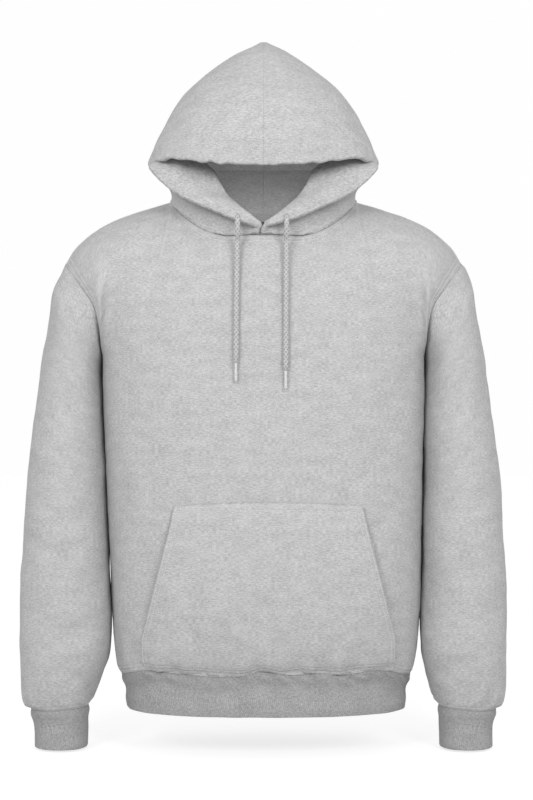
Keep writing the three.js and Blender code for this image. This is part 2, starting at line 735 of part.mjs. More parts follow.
// Neck tape over the back neck seam, inside the neck
const TAPE_HALF_HEIGHT = 6;
const TAPE_START = 96;
function neckTape() {
  const inside = HOOD_CLOTH + SEAM_GAP + 1.2;
  const lines = grid(1, 20, (down, round) => {
    const angle = mix(TAPE_START, 360 - TAPE_START, round);
    const seam = neckPoint(Math.min(angle, 360 - angle));
    const point = angle > 180 ? mirrored(seam) : seam;
    const inward = new THREE.Vector3(-point.x, NECK_CENTRE_Y - point.y, 0).normalize();
    point.addScaledVector(inward, inside);
    point.z += mix(TAPE_HALF_HEIGHT, -TAPE_HALF_HEIGHT, down);
    return point;
  });
  return clothWall(lines, { thickness: TAPE_CLOTH, hand: 1 });
}

// Drawcords: each hangs from under the lapel's edge down the front.
const cordRoutes = {
  left: [
    [-33.6, -105, -35], [-33.7, -108, -40], [-33.8, -109.5, -48], [-34.0, -111, -58],
    [-34.2, -113.5, -70], [-34.3, -116.5, -84], [-34.5, -119.5, -98], [-34.7, -122.4, -112],
    [-34.8, -125, -126], [-34.9, -127.2, -140], [-35.0, -128.9, -154], [-35.1, -130.2, -168],
    [-35.2, -131.2, -182], [-35.3, -131.9, -194], [-35.4, -132.4, -206], [-35.5, -132.8, -218],
  ],
  right: [
    [30.2, -105.2, -35], [30.3, -108.3, -40], [30.2, -110, -48], [30.1, -111.5, -58],
    [29.9, -114, -70], [29.7, -117, -84], [29.6, -120, -98], [29.5, -122.9, -112],
    [29.4, -125.4, -126], [29.4, -127.6, -140], [29.3, -129.3, -154], [29.3, -130.6, -168],
    [29.2, -131.6, -182], [29.1, -132.3, -196], [29.0, -132.8, -212], [28.8, -133.2, -228],
  ],
};
const TIP_LENGTH = 24;

function cordSolid(route) {
  const path = new THREE.CatmullRomCurve3(route.map((point) => new THREE.Vector3(...point)));
  const section = new THREE.Shape();
  for (let side = 0; side < CORD_SIDES; side += 1) {
    const angle = side / CORD_SIDES * 2 * Math.PI;
    const x = CORD_RADIUS * Math.cos(angle);
    const y = CORD_RADIUS * Math.sin(angle);
    if (side === 0) {
      section.moveTo(x, y);
    } else {
      section.lineTo(x, y);
    }
  }
  return new THREE.ExtrudeGeometry(section, { steps: 14, curveSegments: 1, extrudePath: path,
    bevelEnabled: false });
}

function addCord(garment, name, route) {
  const end = route[route.length - 1];
  garment.add(piece(`drawcord_${name}`, cordSolid(route), CORD_GREY, 0.85));
  const profile = [[0, 0], [TIP_RADIUS, 0], [TIP_RADIUS * 0.95, -TIP_LENGTH + 2],
    [TIP_RADIUS * 0.7, -TIP_LENGTH], [0, -TIP_LENGTH]];
  const shape = new THREE.LatheGeometry(
    profile.reverse().map(([x, y]) => new THREE.Vector2(x, y)), CORD_SIDES);
  const tip = piece(`cord_tip_${name}`, shape, TIP_CLEAR, 0.3);
  tip.rotation.x = Math.PI / 2;
  tip.position.set(end[0], end[1], end[2] - SEAM_GAP);
  garment.add(tip);
}

function piece(name, geometry, color, roughness) {
  const material = new THREE.MeshStandardMaterial({ color, roughness, metalness: 0 });
  const mesh = new THREE.Mesh(geometry, material);
  mesh.name = name;
  return mesh;
}

const hoodie = new THREE.Group();
hoodie.add(piece('front', bodyPanel(-1), GREY_FLEECE, 0.95));
hoodie.add(piece('back', bodyPanel(1), GREY_FLEECE, 0.95));
hoodie.add(piece('hem_band', hemBand(), GREY_RIB, 0.95));
hoodie.add(piece('pocket', pocket(), GREY_FLEECE, 0.95));
hoodie.add(piece('neck_tape', neckTape(), TAPE_GREY, 0.9));
for (const [name, sign] of [['left', -1], ['right', 1]]) {
  hoodie.add(piece(`sleeve_${name}`, sleeve(sign), GREY_FLEECE, 0.95));
  hoodie.add(piece(`cuff_${name}`, cuff(sign), GREY_RIB, 0.95));
  hoodie.add(piece(`hood_${name}`, hoodPanel(sign), GREY_FLEECE, 0.95));
  addCord(hoodie, name, cordRoutes[name]);
}

export default hoodie;
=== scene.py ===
# A grey heather pullover hoodie, filled out and hollow, on a white studio floor.
# Blender works in metres. The tables and sizes below are in millimetres, and a mesh
# turns them into metres. The front faces -Y, and left and right are as seen from it.
import json
import math

import bpy
import numpy as np
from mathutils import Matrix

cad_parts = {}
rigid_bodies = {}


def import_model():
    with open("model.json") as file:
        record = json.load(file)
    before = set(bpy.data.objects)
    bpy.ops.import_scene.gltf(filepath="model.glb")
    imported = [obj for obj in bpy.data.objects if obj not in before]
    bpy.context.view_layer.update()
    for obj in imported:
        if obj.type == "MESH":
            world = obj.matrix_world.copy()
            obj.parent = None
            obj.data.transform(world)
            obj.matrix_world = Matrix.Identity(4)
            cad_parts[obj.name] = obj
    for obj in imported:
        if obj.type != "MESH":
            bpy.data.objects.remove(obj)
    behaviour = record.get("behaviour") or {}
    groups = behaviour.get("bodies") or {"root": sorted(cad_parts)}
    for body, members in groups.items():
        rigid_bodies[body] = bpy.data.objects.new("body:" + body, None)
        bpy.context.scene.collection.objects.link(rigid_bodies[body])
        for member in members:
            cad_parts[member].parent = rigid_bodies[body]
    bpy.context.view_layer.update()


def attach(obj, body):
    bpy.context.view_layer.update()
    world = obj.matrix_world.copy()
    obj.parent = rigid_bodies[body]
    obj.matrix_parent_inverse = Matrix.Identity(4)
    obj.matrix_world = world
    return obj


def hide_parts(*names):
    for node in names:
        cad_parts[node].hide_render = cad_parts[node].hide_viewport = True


# Blender's own start-up objects go before the frame comes in.
for start_object in list(bpy.data.objects):
    bpy.data.objects.remove(start_object)
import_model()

# Camera: level, 2.5 m in front of the garment and aimed at about its middle.
CAMERA_DISTANCE = 2.5
SEEN_HEIGHT = 1.092
camera_data = bpy.data.cameras.new("camera")
camera_data.sensor_fit = "VERTICAL"
camera_data.sensor_height = 36
camera_data.lens = camera_data.sensor_height * CAMERA_DISTANCE / SEEN_HEIGHT
camera = bpy.data.objects.new("camera", camera_data)
camera.location = (0.004, -CAMERA_DISTANCE, -0.266)
camera.rotation_euler = (math.radians(90), 0, 0)
bpy.context.scene.collection.objects.link(camera)
bpy.context.scene.camera = camera


# Drawcords: a round braided cotton cord in the hood's edge, whose two ends hang free
# from a buttonhole in each lapel. Each end is bound in a short clear film tip.
MM = 0.001
CORD_RADIUS = 3.5
CORD_SIDES = 28
CORD_STEP = 0.6
CORD_STRANDS = 4
STRAND_RELIEF = 0.26
CORD_TAPER = 9
TIP_RADIUS = 1.9
TIP_LENGTH = 24
TIP_SIDES = 16
TIP_GAP = 0.3
# Each cord comes out of its buttonhole and bends over the lapel's thick edge. These points
# are measured from the first point of its route, and take the place of the first three.
BUTTONHOLE_BEND = [(0, 3, 10.5), (0, -6, 8.5), (0, -11.5, 3.5), (0, -13, -4), (0, -10.5, -14)]
cord_routes = {
    "left": [
        (-33.6, -105, -35), (-33.7, -108, -40), (-33.8, -109.5, -48), (-34.0, -111, -58),
        (-34.2, -113.5, -70), (-34.3, -116.5, -84), (-34.5, -119.5, -98), (-34.7, -122.4, -112),
        (-34.8, -125, -126), (-34.9, -127.2, -140), (-35.0, -128.9, -154), (-35.1, -130.2, -168),
        (-35.2, -131.2, -182), (-35.3, -131.9, -194), (-35.4, -132.4, -206), (-35.5, -132.8, -218),
    ],
    "right": [
        (30.2, -105.2, -35), (30.3, -108.3, -40), (30.2, -110, -48), (30.1, -111.5, -58),
        (29.9, -114, -70), (29.7, -117, -84), (29.6, -120, -98), (29.5, -122.9, -112),
        (29.4, -125.4, -126), (29.4, -127.6, -140), (29.3, -129.3, -154), (29.3, -130.6, -168),
        (29.2, -131.6, -182), (29.1, -132.3, -196), (29.0, -132.8, -212), (28.8, -133.2, -228),
    ],
}


def linear(hex_colour):
    """Turns an sRGB hex colour into linear red, green, blue and alpha."""
    channels = np.array([int(hex_colour[i:i + 2], 16) for i in (1, 3, 5)]) / 255
    dark = channels / 12.92
    light = ((channels + 0.055) / 1.055) ** 2.4
    return (*np.where(channels <= 0.04045, dark, light).tolist(), 1.0)


def add_node(tree, kind, inputs=None, **settings):
    """Adds a node: settings are its properties, inputs a value or a source for each socket."""
    node = tree.nodes.new(kind)
    for name, value in settings.items():
        setattr(node, name, value)
    for name, value in (inputs or {}).items():
        if isinstance(value, bpy.types.NodeSocket):
            tree.links.new(value, node.inputs[name])
        else:
            node.inputs[name].default_value = value
    return node


def new_material(name):
    """An empty material and its node tree."""
    material = bpy.data.materials.new(name)
    material.use_nodes = True
    material.node_tree.nodes.clear()
    return material, material.node_tree


def curve_through(keys, values, at):
    """Cubic curve through values at rising or falling keys, its slopes from the neighbours."""
    keys = np.asarray(keys, float)
    values = np.asarray(values, float)
    if keys[0] > keys[-1]:
        keys = keys[::-1]
        values = values[::-1]
    at = np.asarray(at, float)
    extra = (1,) * (values.ndim - 1)
    step = np.diff(keys).reshape(-1, *extra)
    rise = np.diff(values, axis=0) / step
    slope = np.empty_like(values)
    slope[0] = rise[0]
    slope[-1] = rise[-1]
    slope[1:-1] = (rise[:-1] * step[1:] + rise[1:] * step[:-1]) / (step[:-1] + step[1:])
    start = np.clip(np.searchsorted(keys, at, side="right") - 1, 0, len(keys) - 2)
    t = np.clip((at - keys[start]) / (keys[start + 1] - keys[start]), 0, 1)
    t = t.reshape(*at.shape, *extra)
    first = slope[start] - rise[start]
    second = slope[start + 1] - rise[start]
    bend = step[start] * t * (1 - t) * ((1 - t) * first - t * second)
    return values[start] + rise[start] * step[start] * t + bend


def unit(vectors):
    """Vectors of length one along the last axis."""
    return vectors / np.maximum(np.linalg.norm(vectors, axis=-1, keepdims=True), 1e-9)


def lengths_along(points, axis):
    """Distance run along one axis of a line or grid of points, from its first point."""
    steps = np.linalg.norm(np.diff(points, axis=axis), axis=-1)
    start = np.zeros_like(np.take(steps, [0], axis=axis))
    return np.concatenate([start, np.cumsum(steps, axis=axis)], axis=axis)


def put_mesh(name, vertices, faces, face_uv, material, values=None):
    """Makes a mesh object from points in mm, faces with one corner count, and their UVs."""
    mesh = bpy.data.meshes.new(name)
    corners = faces.shape[1]
    mesh.vertices.add(len(vertices))
    mesh.vertices.foreach_set("co", (vertices * MM).astype(np.float32).ravel())
    mesh.loops.add(faces.size)
    mesh.loops.foreach_set("vertex_index", faces.astype(np.int32).ravel())
    mesh.polygons.add(len(faces))
    mesh.polygons.foreach_set("loop_start", np.arange(0, faces.size, corners, dtype=np.int32))
    mesh.update(calc_edges=True)
    mesh.polygons.foreach_set("use_smooth", np.ones(len(faces), dtype=bool))
    uv_map = mesh.uv_layers.new(name="cloth")
    uv_map.data.foreach_set("uv", (face_uv * MM).astype(np.float32).ravel())
    for label, numbers in (values or {}).items():
        attribute = mesh.attributes.new(label, "FLOAT", "POINT")
        attribute.data.foreach_set("value", numbers.astype(np.float32).ravel())
    mesh.validate()
    mesh.materials.append(material)
    piece = bpy.data.objects.new(name, mesh)
    bpy.context.scene.collection.objects.link(piece)
    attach(piece, "root")
    return piece


def tube(name, path, radius, sides, material, relief=None):
    """A closed tube along a path: each ring is a circle across it, with a relief in its radius.

    radius has a value for each point of the path, and relief one for each point and side."""
    tangent = unit(np.gradient(path, axis=0))
    aside = unit(np.array([1.0, 0, 0]) - tangent * tangent[:, :1])
    other = np.cross(tangent, aside)
    angle = (np.arange(sides) / sides * 2 * np.pi)[None, :, None]
    ring = np.cos(angle) * aside[:, None] + np.sin(angle) * other[:, None]
    if relief is None:
        relief = np.zeros((len(path), sides))
    reach = radius[:, None] + relief
    rings = (path[:, None] + reach[..., None] * ring).reshape(-1, 3)
    row, turn = np.meshgrid(np.arange(len(path) - 1), np.arange(sides), indexing="ij")
    following = (turn + 1) % sides
    quads = np.stack([row * sides + turn, row * sides + following,
                      (row + 1) * sides + following, (row + 1) * sides + turn], -1).reshape(-1, 4)
    corner_row = np.stack([row, row, row + 1, row + 1], -1)
    corner_turn = np.stack([turn, turn + 1, turn + 1, turn], -1)
    uv = np.stack([corner_turn / sides * 2 * np.pi * radius.max(),
                   lengths_along(path, 0)[corner_row]], -1).reshape(-1, 4, 2)
    first_ring = np.arange(sides)[::-1]
    last_ring = len(rings) - sides + np.arange(sides)
    caps = [np.stack([np.full(sides, len(rings) + end), edge, np.roll(edge, -1)], -1)
            for end, edge in enumerate((first_ring, last_ring))]
    triangles = np.vstack([quads[:, [0, 1, 2]], quads[:, [0, 2, 3]], *caps])
    face_uv = np.concatenate([uv[:, [0, 1, 2]], uv[:, [0, 2, 3]], np.zeros((2 * sides, 3, 2))])
    strand = np.append(relief.ravel() / max(np.abs(relief).max(), 1e-9), (0, 0))
    vertices = np.vstack([rings, path[0], path[-1]])
    return put_mesh(name, vertices, triangles, face_uv, material, {"strand": strand})


def marl(tree, light, dark, streak_length, streak_height):
    """Colour of heathered yarn: light fibres mixed with dark ones, in short level streaks.

    Three noises on the piece's own UV in mm are added: streaks, single fibres and clouds.
    Each is (length, height, share), and each is moved a little so that they differ."""
    uv = add_node(tree, "ShaderNodeUVMap", uv_map="cloth")
    total = None
    sizes = [(streak_length, streak_height, 0.46), (1.5, 0.9, 0.38), (26, 12, 0.16)]
    for layer, (length, height, share) in enumerate(sizes):
        place_on = add_node(tree, "ShaderNodeMapping",
                            {"Vector": uv.outputs["UV"],
                             "Scale": (1000 / length, 1000 / height, 1),
                             "Location": (layer * 7.3, layer * 3.1, 0)})
        noise = add_node(tree, "ShaderNodeTexNoise",
                         {"Vector": place_on.outputs[0], "Scale": 1.0, "Detail": 2.0,
                          "Roughness": 0.55}, noise_dimensions="2D")
        weighted = add_node(tree, "ShaderNodeMath",
                            {0: noise.outputs["Fac"], 1: share}, operation="MULTIPLY")
        if total is None:
            total = weighted
        else:
            total = add_node(tree, "ShaderNodeMath",
                             {0: total.outputs[0], 1: weighted.outputs[0]}, operation="ADD")
    spread = add_node(tree, "ShaderNodeMapRange",
                      {"Value": total.outputs[0], "From Min": 0.36, "From Max": 0.64})
    colour = add_node(tree, "ShaderNodeMix",
                      {0: spread.outputs["Result"], 6: linear(dark), 7: linear(light)},
                      data_type="RGBA")
    return uv, total, colour


# Braided cotton cord in grey marl: matt, with shade painted darker into the valleys between its fat
# strands.
braided_cotton, tree = new_material("braided_cotton_cord")
_, cord_marl, cord_colour = marl(tree, "#dadada", "#b8b8b8", 5, 1.2)
strand = add_node(tree, "ShaderNodeAttribute", attribute_name="strand")
# Painted shade: the colour darkens towards dark grey where the strand relief sinks into a valley.
cord_valley_shade = add_node(tree, "ShaderNodeMapRange",
                  {"Value": strand.outputs["Fac"], "From Min": -1.0, "From Max": 0.3})
cord_painted_shade = add_node(tree, "ShaderNodeMix",
                  {0: cord_valley_shade.outputs["Result"], 6: linear("#949494"), 7: cord_colour.outputs[2]},
                  data_type="RGBA")
cord_bump = add_node(tree, "ShaderNodeBump",
                     {"Height": cord_marl.outputs[0], "Strength": 0.5, "Distance": 0.0008})
cord_shader = add_node(tree, "ShaderNodeBsdfPrincipled",
                       {"Base Color": cord_painted_shade.outputs[2], "Roughness": 0.9,
                        "Specular IOR Level": 0.25, "Normal": cord_bump.outputs[0]})
add_node(tree, "ShaderNodeOutputMaterial", {"Surface": cord_shader.outputs[0]})

# Clear shrunk film over the cord's end: smooth and glossy, with the cord pale inside.
clear_film, tree = new_material("clear_film_tip")
film_uv = add_node(tree, "ShaderNodeUVMap", uv_map="cloth")
film_scale = add_node(tree, "ShaderNodeMapping",
                      {"Vector": film_uv.outputs["UV"], "Scale": (600, 420, 1)})
film_noise = add_node(tree, "ShaderNodeTexNoise",
                      {"Vector": film_scale.outputs[0], "Scale": 1.0, "Detail": 3.0},
                      noise_dimensions="2D")
film_colour = add_node(tree, "ShaderNodeMix",
                       {0: film_noise.outputs["Fac"], 6: linear("#b8b8b8"),
                        7: linear("#ececec")}, data_type="RGBA")
film_bump = add_node(tree, "ShaderNodeBump",
                     {"Height": film_noise.outputs["Fac"], "Strength": 0.25, "Distance": 0.0004})
film_shader = add_node(tree, "ShaderNodeBsdfPrincipled",
                       {"Base Color": film_colour.outputs[2], "Roughness": 0.28,
                        "IOR": 1.46, "Normal": film_bump.outputs[0]})
add_node(tree, "ShaderNodeOutputMaterial", {"Surface": film_shader.outputs[0]})

for side_name, route in cord_routes.items():
    points = np.array(route, float)
    points = np.vstack([points[0] + np.array(BUTTONHOLE_BEND), points[3:]])
    run = lengths_along(points, 0)
    path = curve_through(run, points, np.append(np.arange(0, run[-1], CORD_STEP), run[-1]))
    run = lengths_along(path, 0)
    to_end = run[-1] - run
    radius = np.where(to_end < CORD_TAPER,
                      TIP_RADIUS + (CORD_RADIUS - TIP_RADIUS) * np.sin(to_end / CORD_TAPER * np.pi / 2),
                      CORD_RADIUS)
    turn = np.arange(CORD_SIDES) / CORD_SIDES * 2 * np.pi
    strand_length = 2 * np.pi * CORD_RADIUS / CORD_STRANDS * 1.15
    along = run[:, None] / strand_length * 2 * np.pi
    rising = np.cos(CORD_STRANDS * turn[None] + along)
    falling = np.cos(CORD_STRANDS * turn[None] - along)
    over = np.sin(along * 0.5 + 2 * turn[None]) > 0
    relief = STRAND_RELIEF * np.where(over, np.maximum(rising, falling * 0.6),
                                      np.maximum(falling, rising * 0.6))
    relief = relief * (radius / CORD_RADIUS)[:, None] - STRAND_RELIEF * 0.6
    cord_piece = tube(f"cord_{side_name}", path, radius, CORD_SIDES, braided_cotton, relief)
    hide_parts(f"drawcord_{side_name}")
    end = path[-1] - (0, 0, TIP_GAP)
    tip_run = np.linspace(0, 1, 25)
    tip_path = end + np.outer(tip_run, (0, 0, -TIP_LENGTH))
    squeeze = 1 + 0.05 * np.sin(tip_run * 21) * np.sin(tip_run * 9)
    tip_radius = TIP_RADIUS * squeeze * np.where(tip_run > 0.94, 0.72, 1)
    tip_piece = tube(f"tip_{side_name}", tip_path, tip_radius, TIP_SIDES, clear_film)
    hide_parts(f"cord_tip_{side_name}")


# Front and back: two panels of brushed cotton fleece, sewn at the shoulders, the sides
# and the armholes, and topstitched with a twin needle. They hang full and smooth.
FLEECE = 2.4
SEAM_GAP = 0.3
UNDERARM_Z = -208
HEM_SEAM_FRONT_Z = -623
HEM_SEAM_SIDE_DROP = 13
NECK_HALF_WIDTH = 127
NECK_CENTRE_Y = 5
NECK_FRONT_REACH = 100
NECK_BACK_REACH = 71
NECK_SHARE_OF_PANEL = 38
SQUARENESS_OF_NECK = 2.1
LEAN_AT_HEM = 3.2

# How deep the cloth turns in at each seam, and how far from it the stitching lies.
SEAM_ROLL = 1.0
HEM_ROLL = 0.25
NECK_ROLL = 0.8
ARMHOLE_CENTRE_Z = -144
HEM_NEEDLES = (4, 9)
TOP_NEEDLES = (5, 10)
ARMHOLE_NEEDLES = (5, 10.5)
STITCH_PITCH = 3.2
STITCH_LENGTH = 2.7
STITCH_SIDES = 5
THREAD_RADIUS = 0.48


def table(column_names, rows):
    """Rows read by a smooth curve: the function returned gives every named column at a key."""
    names = column_names.split()
    numbers = np.array(rows, float)

    def at(key):
        values = curve_through(numbers[:, 0], numbers[:, 1:], key)
        return {name: values[..., place] for place, name in enumerate(names[1:])}
    return at


body_sections = table("z half_width front back squareness", [
    (-208, 217.5, 127, 114, 3.0),
    (-290, 217, 130, 116, 2.75),
    (-375, 214.5, 131, 117, 2.6),
    (-470, 212, 130, 117, 2.55),
    (-560, 209, 127, 115, 2.5),
    (-595, 206.5, 123, 112, 2.5),
    (-612, 204.5, 119, 109, 2.5),
    (-622, 202.5, 115.5, 106, 2.5),
    (-636, 196.5, 112, 103, 2.5),
    (-646, 193.5, 111, 102, 2.5),
    (-656, 191.5, 110, 101, 2.5),
    (-672, 190.5, 109.5, 100.5, 2.5),
    (-682, 188.5, 108, 99, 2.5),
])
neck_heights = table("angle z", [
    (0, -48), (20, -49), (30, -46), (40, -38), (50, -27),
    (62, -15), (75, -3), (90, 5), (112, 1.5), (140, -6), (180, -11),
])
shoulder_seam = table("share x z", [
    (0, 127, 5), (0.13, 145, -0.5), (0.25, 162, -6), (0.52, 201, -20.5),
    (0.7, 228, -34), (0.83, 246, -48), (0.93, 260, -63), (1, 270, -80),
])
armhole_front = table("turn x depth z", [
    (0, 270, 0, -80), (25, 263, 34, -89), (50, 249, 62, -107), (70, 236, 78, -124),
    (90, 225, 85, -140), (115, 219, 78, -163), (145, 217.5, 51, -191), (180, 217.5, 0, -208),
])
armhole_back = table("turn x depth z", [
    (0, 270, 0, -80), (25, 265, 32, -88), (50, 256, 58, -104), (70, 246, 72, -121),
    (90, 237, 78, -140), (115, 227, 71, -166), (145, 219.5, 45, -192), (180, 217.5, 0, -208),
])
# Where the hem seam rises and dips across the front, by the angle round the body.
hem_seam_wave = table("angle rise", [
    (-180, 0), (-150, 1.5), (-128, -1.5), (-105, 1), (-90, 0), (-60, 0.5), (-47, 2), (-27, -2),
    (-9, -3.2), (-2, 3.2), (6, -2), (14, 0.8), (24, -2), (42, 2), (62, -1), (90, 0.5),
    (112, -1.5), (140, 1.6), (165, -1), (180, 0),
])


def smooth(share):
    """An S-shaped step from 0 to 1."""
    t = np.clip(share, 0, 1)
    return t * t * (3 - 2 * t)


def body_lean(z):
    """The garment hangs a little askew: the body leans to the right below the underarm."""
    return LEAN_AT_HEM * smooth((UNDERARM_Z - 20 - z) / 350)


def body_point(angle, z):
    """A rounded oblong section: the powers of sine and cosine square its corners."""
    section = body_sections(z)
    sine = np.sin(np.radians(angle))
    cosine = np.cos(np.radians(angle))
    exponent = 2 / section["squareness"]
    reach = np.where(cosine > 0, section["front"], section["back"])
    x = section["half_width"] * np.sign(sine) * np.abs(sine) ** exponent
    y = -reach * np.sign(cosine) * np.abs(cosine) ** exponent
    return np.stack([x + body_lean(z), y, z + 0 * x], -1)


def hem_seam_z(angle):
    """The hem seam runs level across front and back, lower at the sides, and in soft waves."""
    sides = np.abs(np.sin(np.radians(angle))) ** 6
    turned = (np.asarray(angle, float) + 180) % 360 - 180
    return HEM_SEAM_FRONT_Z - HEM_SEAM_SIDE_DROP * sides + hem_seam_wave(turned)["rise"]


def neck_point(angle):
    """The neck seam by its angle from the front centre, on a rounded oval."""
    sine = np.clip(np.sin(np.radians(angle)), 0, 1)
    cosine = np.cos(np.radians(angle))
    exponent = 2 / SQUARENESS_OF_NECK
    reach = np.where(cosine > 0, NECK_FRONT_REACH, NECK_BACK_REACH)
    x = NECK_HALF_WIDTH * sine ** exponent
    y = NECK_CENTRE_Y - reach * np.sign(cosine) * np.abs(cosine) ** exponent
    return np.stack([x, y, neck_heights(angle)["z"]], -1)


def armhole_point(turn, side):
    """The armhole seam from the shoulder (0) over the front or back to the underarm (180)."""
    place = (armhole_front if side < 0 else armhole_back)(turn)
    return np.stack([place["x"], side * place["depth"], place["z"]], -1)


def yoke_curve(angle, share, side):
    """A curve from the neck or shoulder seam, leaving it outwards, down to the underarm."""
    along_neck = np.minimum(angle, NECK_SHARE_OF_PANEL) / NECK_SHARE_OF_PANEL * 90
    along = np.maximum(angle - NECK_SHARE_OF_PANEL, 0) / (90 - NECK_SHARE_OF_PANEL)
    seam = shoulder_seam(along)
    shoulder = np.stack([seam["x"], NECK_CENTRE_Y * (1 - along), seam["z"]], -1)
    neck = neck_point(along_neck if side < 0 else 180 - along_neck)
    top = np.where((angle <= NECK_SHARE_OF_PANEL)[..., None], neck, shoulder)
    bottom = body_point(angle if side < 0 else 180 - angle, np.full_like(angle, UNDERARM_Z))
    length = np.linalg.norm(top - bottom, axis=-1)
    turn_over = smooth(angle / 60)
    leave = np.stack([0 * length, side * (0.42 + 1.58 * turn_over) * length,
                      (-0.85 + 0.55 * turn_over) * length], -1)
    arrive = np.stack([0 * length, 0 * length, -length], -1)
    t = share[..., None]
    return (top * (1 + 2 * t) * (1 - t) ** 2 + bottom * t * t * (3 - 2 * t)
            + leave * t * (1 - t) ** 2 - arrive * t * t * (1 - t))


def yoke_point(angle, share, side):
    """The yoke curve, pulled over to the armhole seam towards its outer edge."""
    point = yoke_curve(angle, share, side)
    pull = smooth((angle - NECK_SHARE_OF_PANEL) / (90 - NECK_SHARE_OF_PANEL)) ** 3
    edge = yoke_curve(np.full_like(angle, 90), share, side)
    return point + (armhole_point(share * 180, side) - edge) * pull[..., None]


def graded(length, coarse, fine_start=0.0, fine_end=0.0, margin=12.0):
    """Shares of a length in even steps, with fine steps along the margin at either end."""
    parts = []
    first = 0.0
    last = length
    if fine_start:
        first = margin
        parts.append(np.arange(0, margin, fine_start))
    if fine_end:
        last = length - margin
        parts.append(length - np.arange(0, margin, fine_end))
    parts.append(np.linspace(first, last, max(int(round((last - first) / coarse)), 1) + 1))
    return np.unique(np.round(np.concatenate(parts), 4)) / length


def even_angles(first, last, shares):
    """Angles whose points on the underarm section lie at these shares of the way round."""
    angles = np.linspace(first, last, 400)
    run = lengths_along(body_point(angles, np.full_like(angles, UNDERARM_Z)), 0)
    return np.interp(shares * run[-1], run, angles)


def grid_normals(points, hand, closed=False, cells=None):
    """Normals of a grid: the cross products of its cells' diagonals, added at the corners."""
    wrapped = np.concatenate([points, points[:, :1]], axis=1) if closed else points
    across = wrapped[1:, 1:] - wrapped[:-1, :-1]
    along = wrapped[1:, :-1] - wrapped[:-1, 1:]
    normal = np.cross(across, along) * hand
    if cells is not None:
        normal = normal * cells[..., None]
    total = np.zeros_like(wrapped)
    total[:-1, :-1] += normal
    total[:-1, 1:] += normal
    total[1:, :-1] += normal
    total[1:, 1:] += normal
    if closed:
        total[:, 0] += total[:, -1]
        total = total[:, :-1]
    return unit(total)


def waves(u, v, size, seed, count=14):
    """Soft uneven relief between about -1 and 1: sine waves of that size, every way round."""
    random = np.random.default_rng(seed)
    total = np.zeros_like(u)
    for _ in range(count):
        direction = random.uniform(0, 2 * np.pi)
        length = size * random.uniform(0.7, 1.7)
        phase = random.uniform(0, 2 * np.pi)
        total += np.sin((u * np.cos(direction) + v * np.sin(direction)) * 2 * np.pi / length + phase)
    return total / np.sqrt(count)


def ripples(along, size, seed):
    """Uneven ripples along a seam: four sines near one wavelength."""
    random = np.random.default_rng(seed)
    total = np.zeros_like(along)
    for _ in range(4):
        length = size * random.uniform(0.65, 1.6)
        total += np.sin(along * 2 * np.pi / length + random.uniform(0, 2 * np.pi))
    return total / 2


def folds(u, v, creases):
    """Folds: a trough, or a ridge if its depth is negative, along a line of points.

    Each fold is (width, depth, points). Its section is a soft dip with two low shoulders,
    and it fades towards its ends."""
    total = np.zeros_like(u)
    for width, depth, line in creases:
        line = np.array(line, float)
        run = lengths_along(line, 0)
        nearest = np.full(u.shape, 1e9)
        share = np.zeros_like(u)
        for place in range(len(line) - 1):
            start = line[place]
            step = line[place + 1] - start
            size = np.linalg.norm(step)
            t = np.clip(((u - start[0]) * step[0] + (v - start[1]) * step[1]) / size ** 2, 0, 1)
            distance = np.hypot(u - start[0] - t * step[0], v - start[1] - t * step[1])
            closer = distance < nearest
            nearest = np.where(closer, distance, nearest)
            share = np.where(closer, (run[place] + t * size) / run[-1], share)
        section = (nearest / width) ** 2
        fade = np.sin(np.pi * np.clip(share * 0.9 + 0.05, 0, 1)) ** 0.8
        total -= depth * fade * (1 - 0.55 * section) * np.exp(-section * 0.75)
    return total


def seam_roll(distance, depth=SEAM_ROLL, width=2.6):
    """Cloth turning in at a seam: deepest at the seam, level a few millimetres away."""
    return -depth * np.exp(-(distance / width) ** 2)


def armhole_depth(points):
    """How deep the armhole seam lies: shallow over the shoulder, deep under the arm."""
    return 0.3 + 1.1 * smooth((-150 - points[..., 2]) / 45)


def away_from_seam(distance, reach=5):
    """0 at a seam and 1 a little away from it, so that both edges of it meet."""
    return 1 - np.exp(-(distance / reach) ** 2)


def turned_to_seam(normals, seam_out, distance):
    """Near a seam the cloth's thickness turns to the seam's own way out, which both pieces share."""
    share = np.exp(-(distance / 5) ** 2)[..., None]
    return unit(normals * (1 - share) + seam_out * share)


def level_out(points, x, y):
    """The level way out from an upright line at x and y."""
    return unit((points - (x, y, 0)) * (1, 1, 0))


def neck_out(points):
    """The way out at the neck seam: outwards and a little upwards."""
    return level_out(points, 0, NECK_CENTRE_Y) * 0.8 + (0, 0, 0.6)


def armhole_out(points):
    """The way out at the armhole seam: from the middle of the armhole."""
    return unit((points - (0, 0, ARMHOLE_CENTRE_Z)) * (0, 1, 1))


def line_on(grid, distance, at):
    """In each column, the point where the distance, rising with the row, reaches a value."""
    before = np.clip(np.sum(distance < at, axis=0) - 1, 0, len(grid) - 2)
    column = np.arange(grid.shape[1])
    near = distance[before, column]
    share = ((at - near) / (distance[before + 1, column] - near))[:, None]
    return grid[before, column] * (1 - share) + grid[before + 1, column] * share


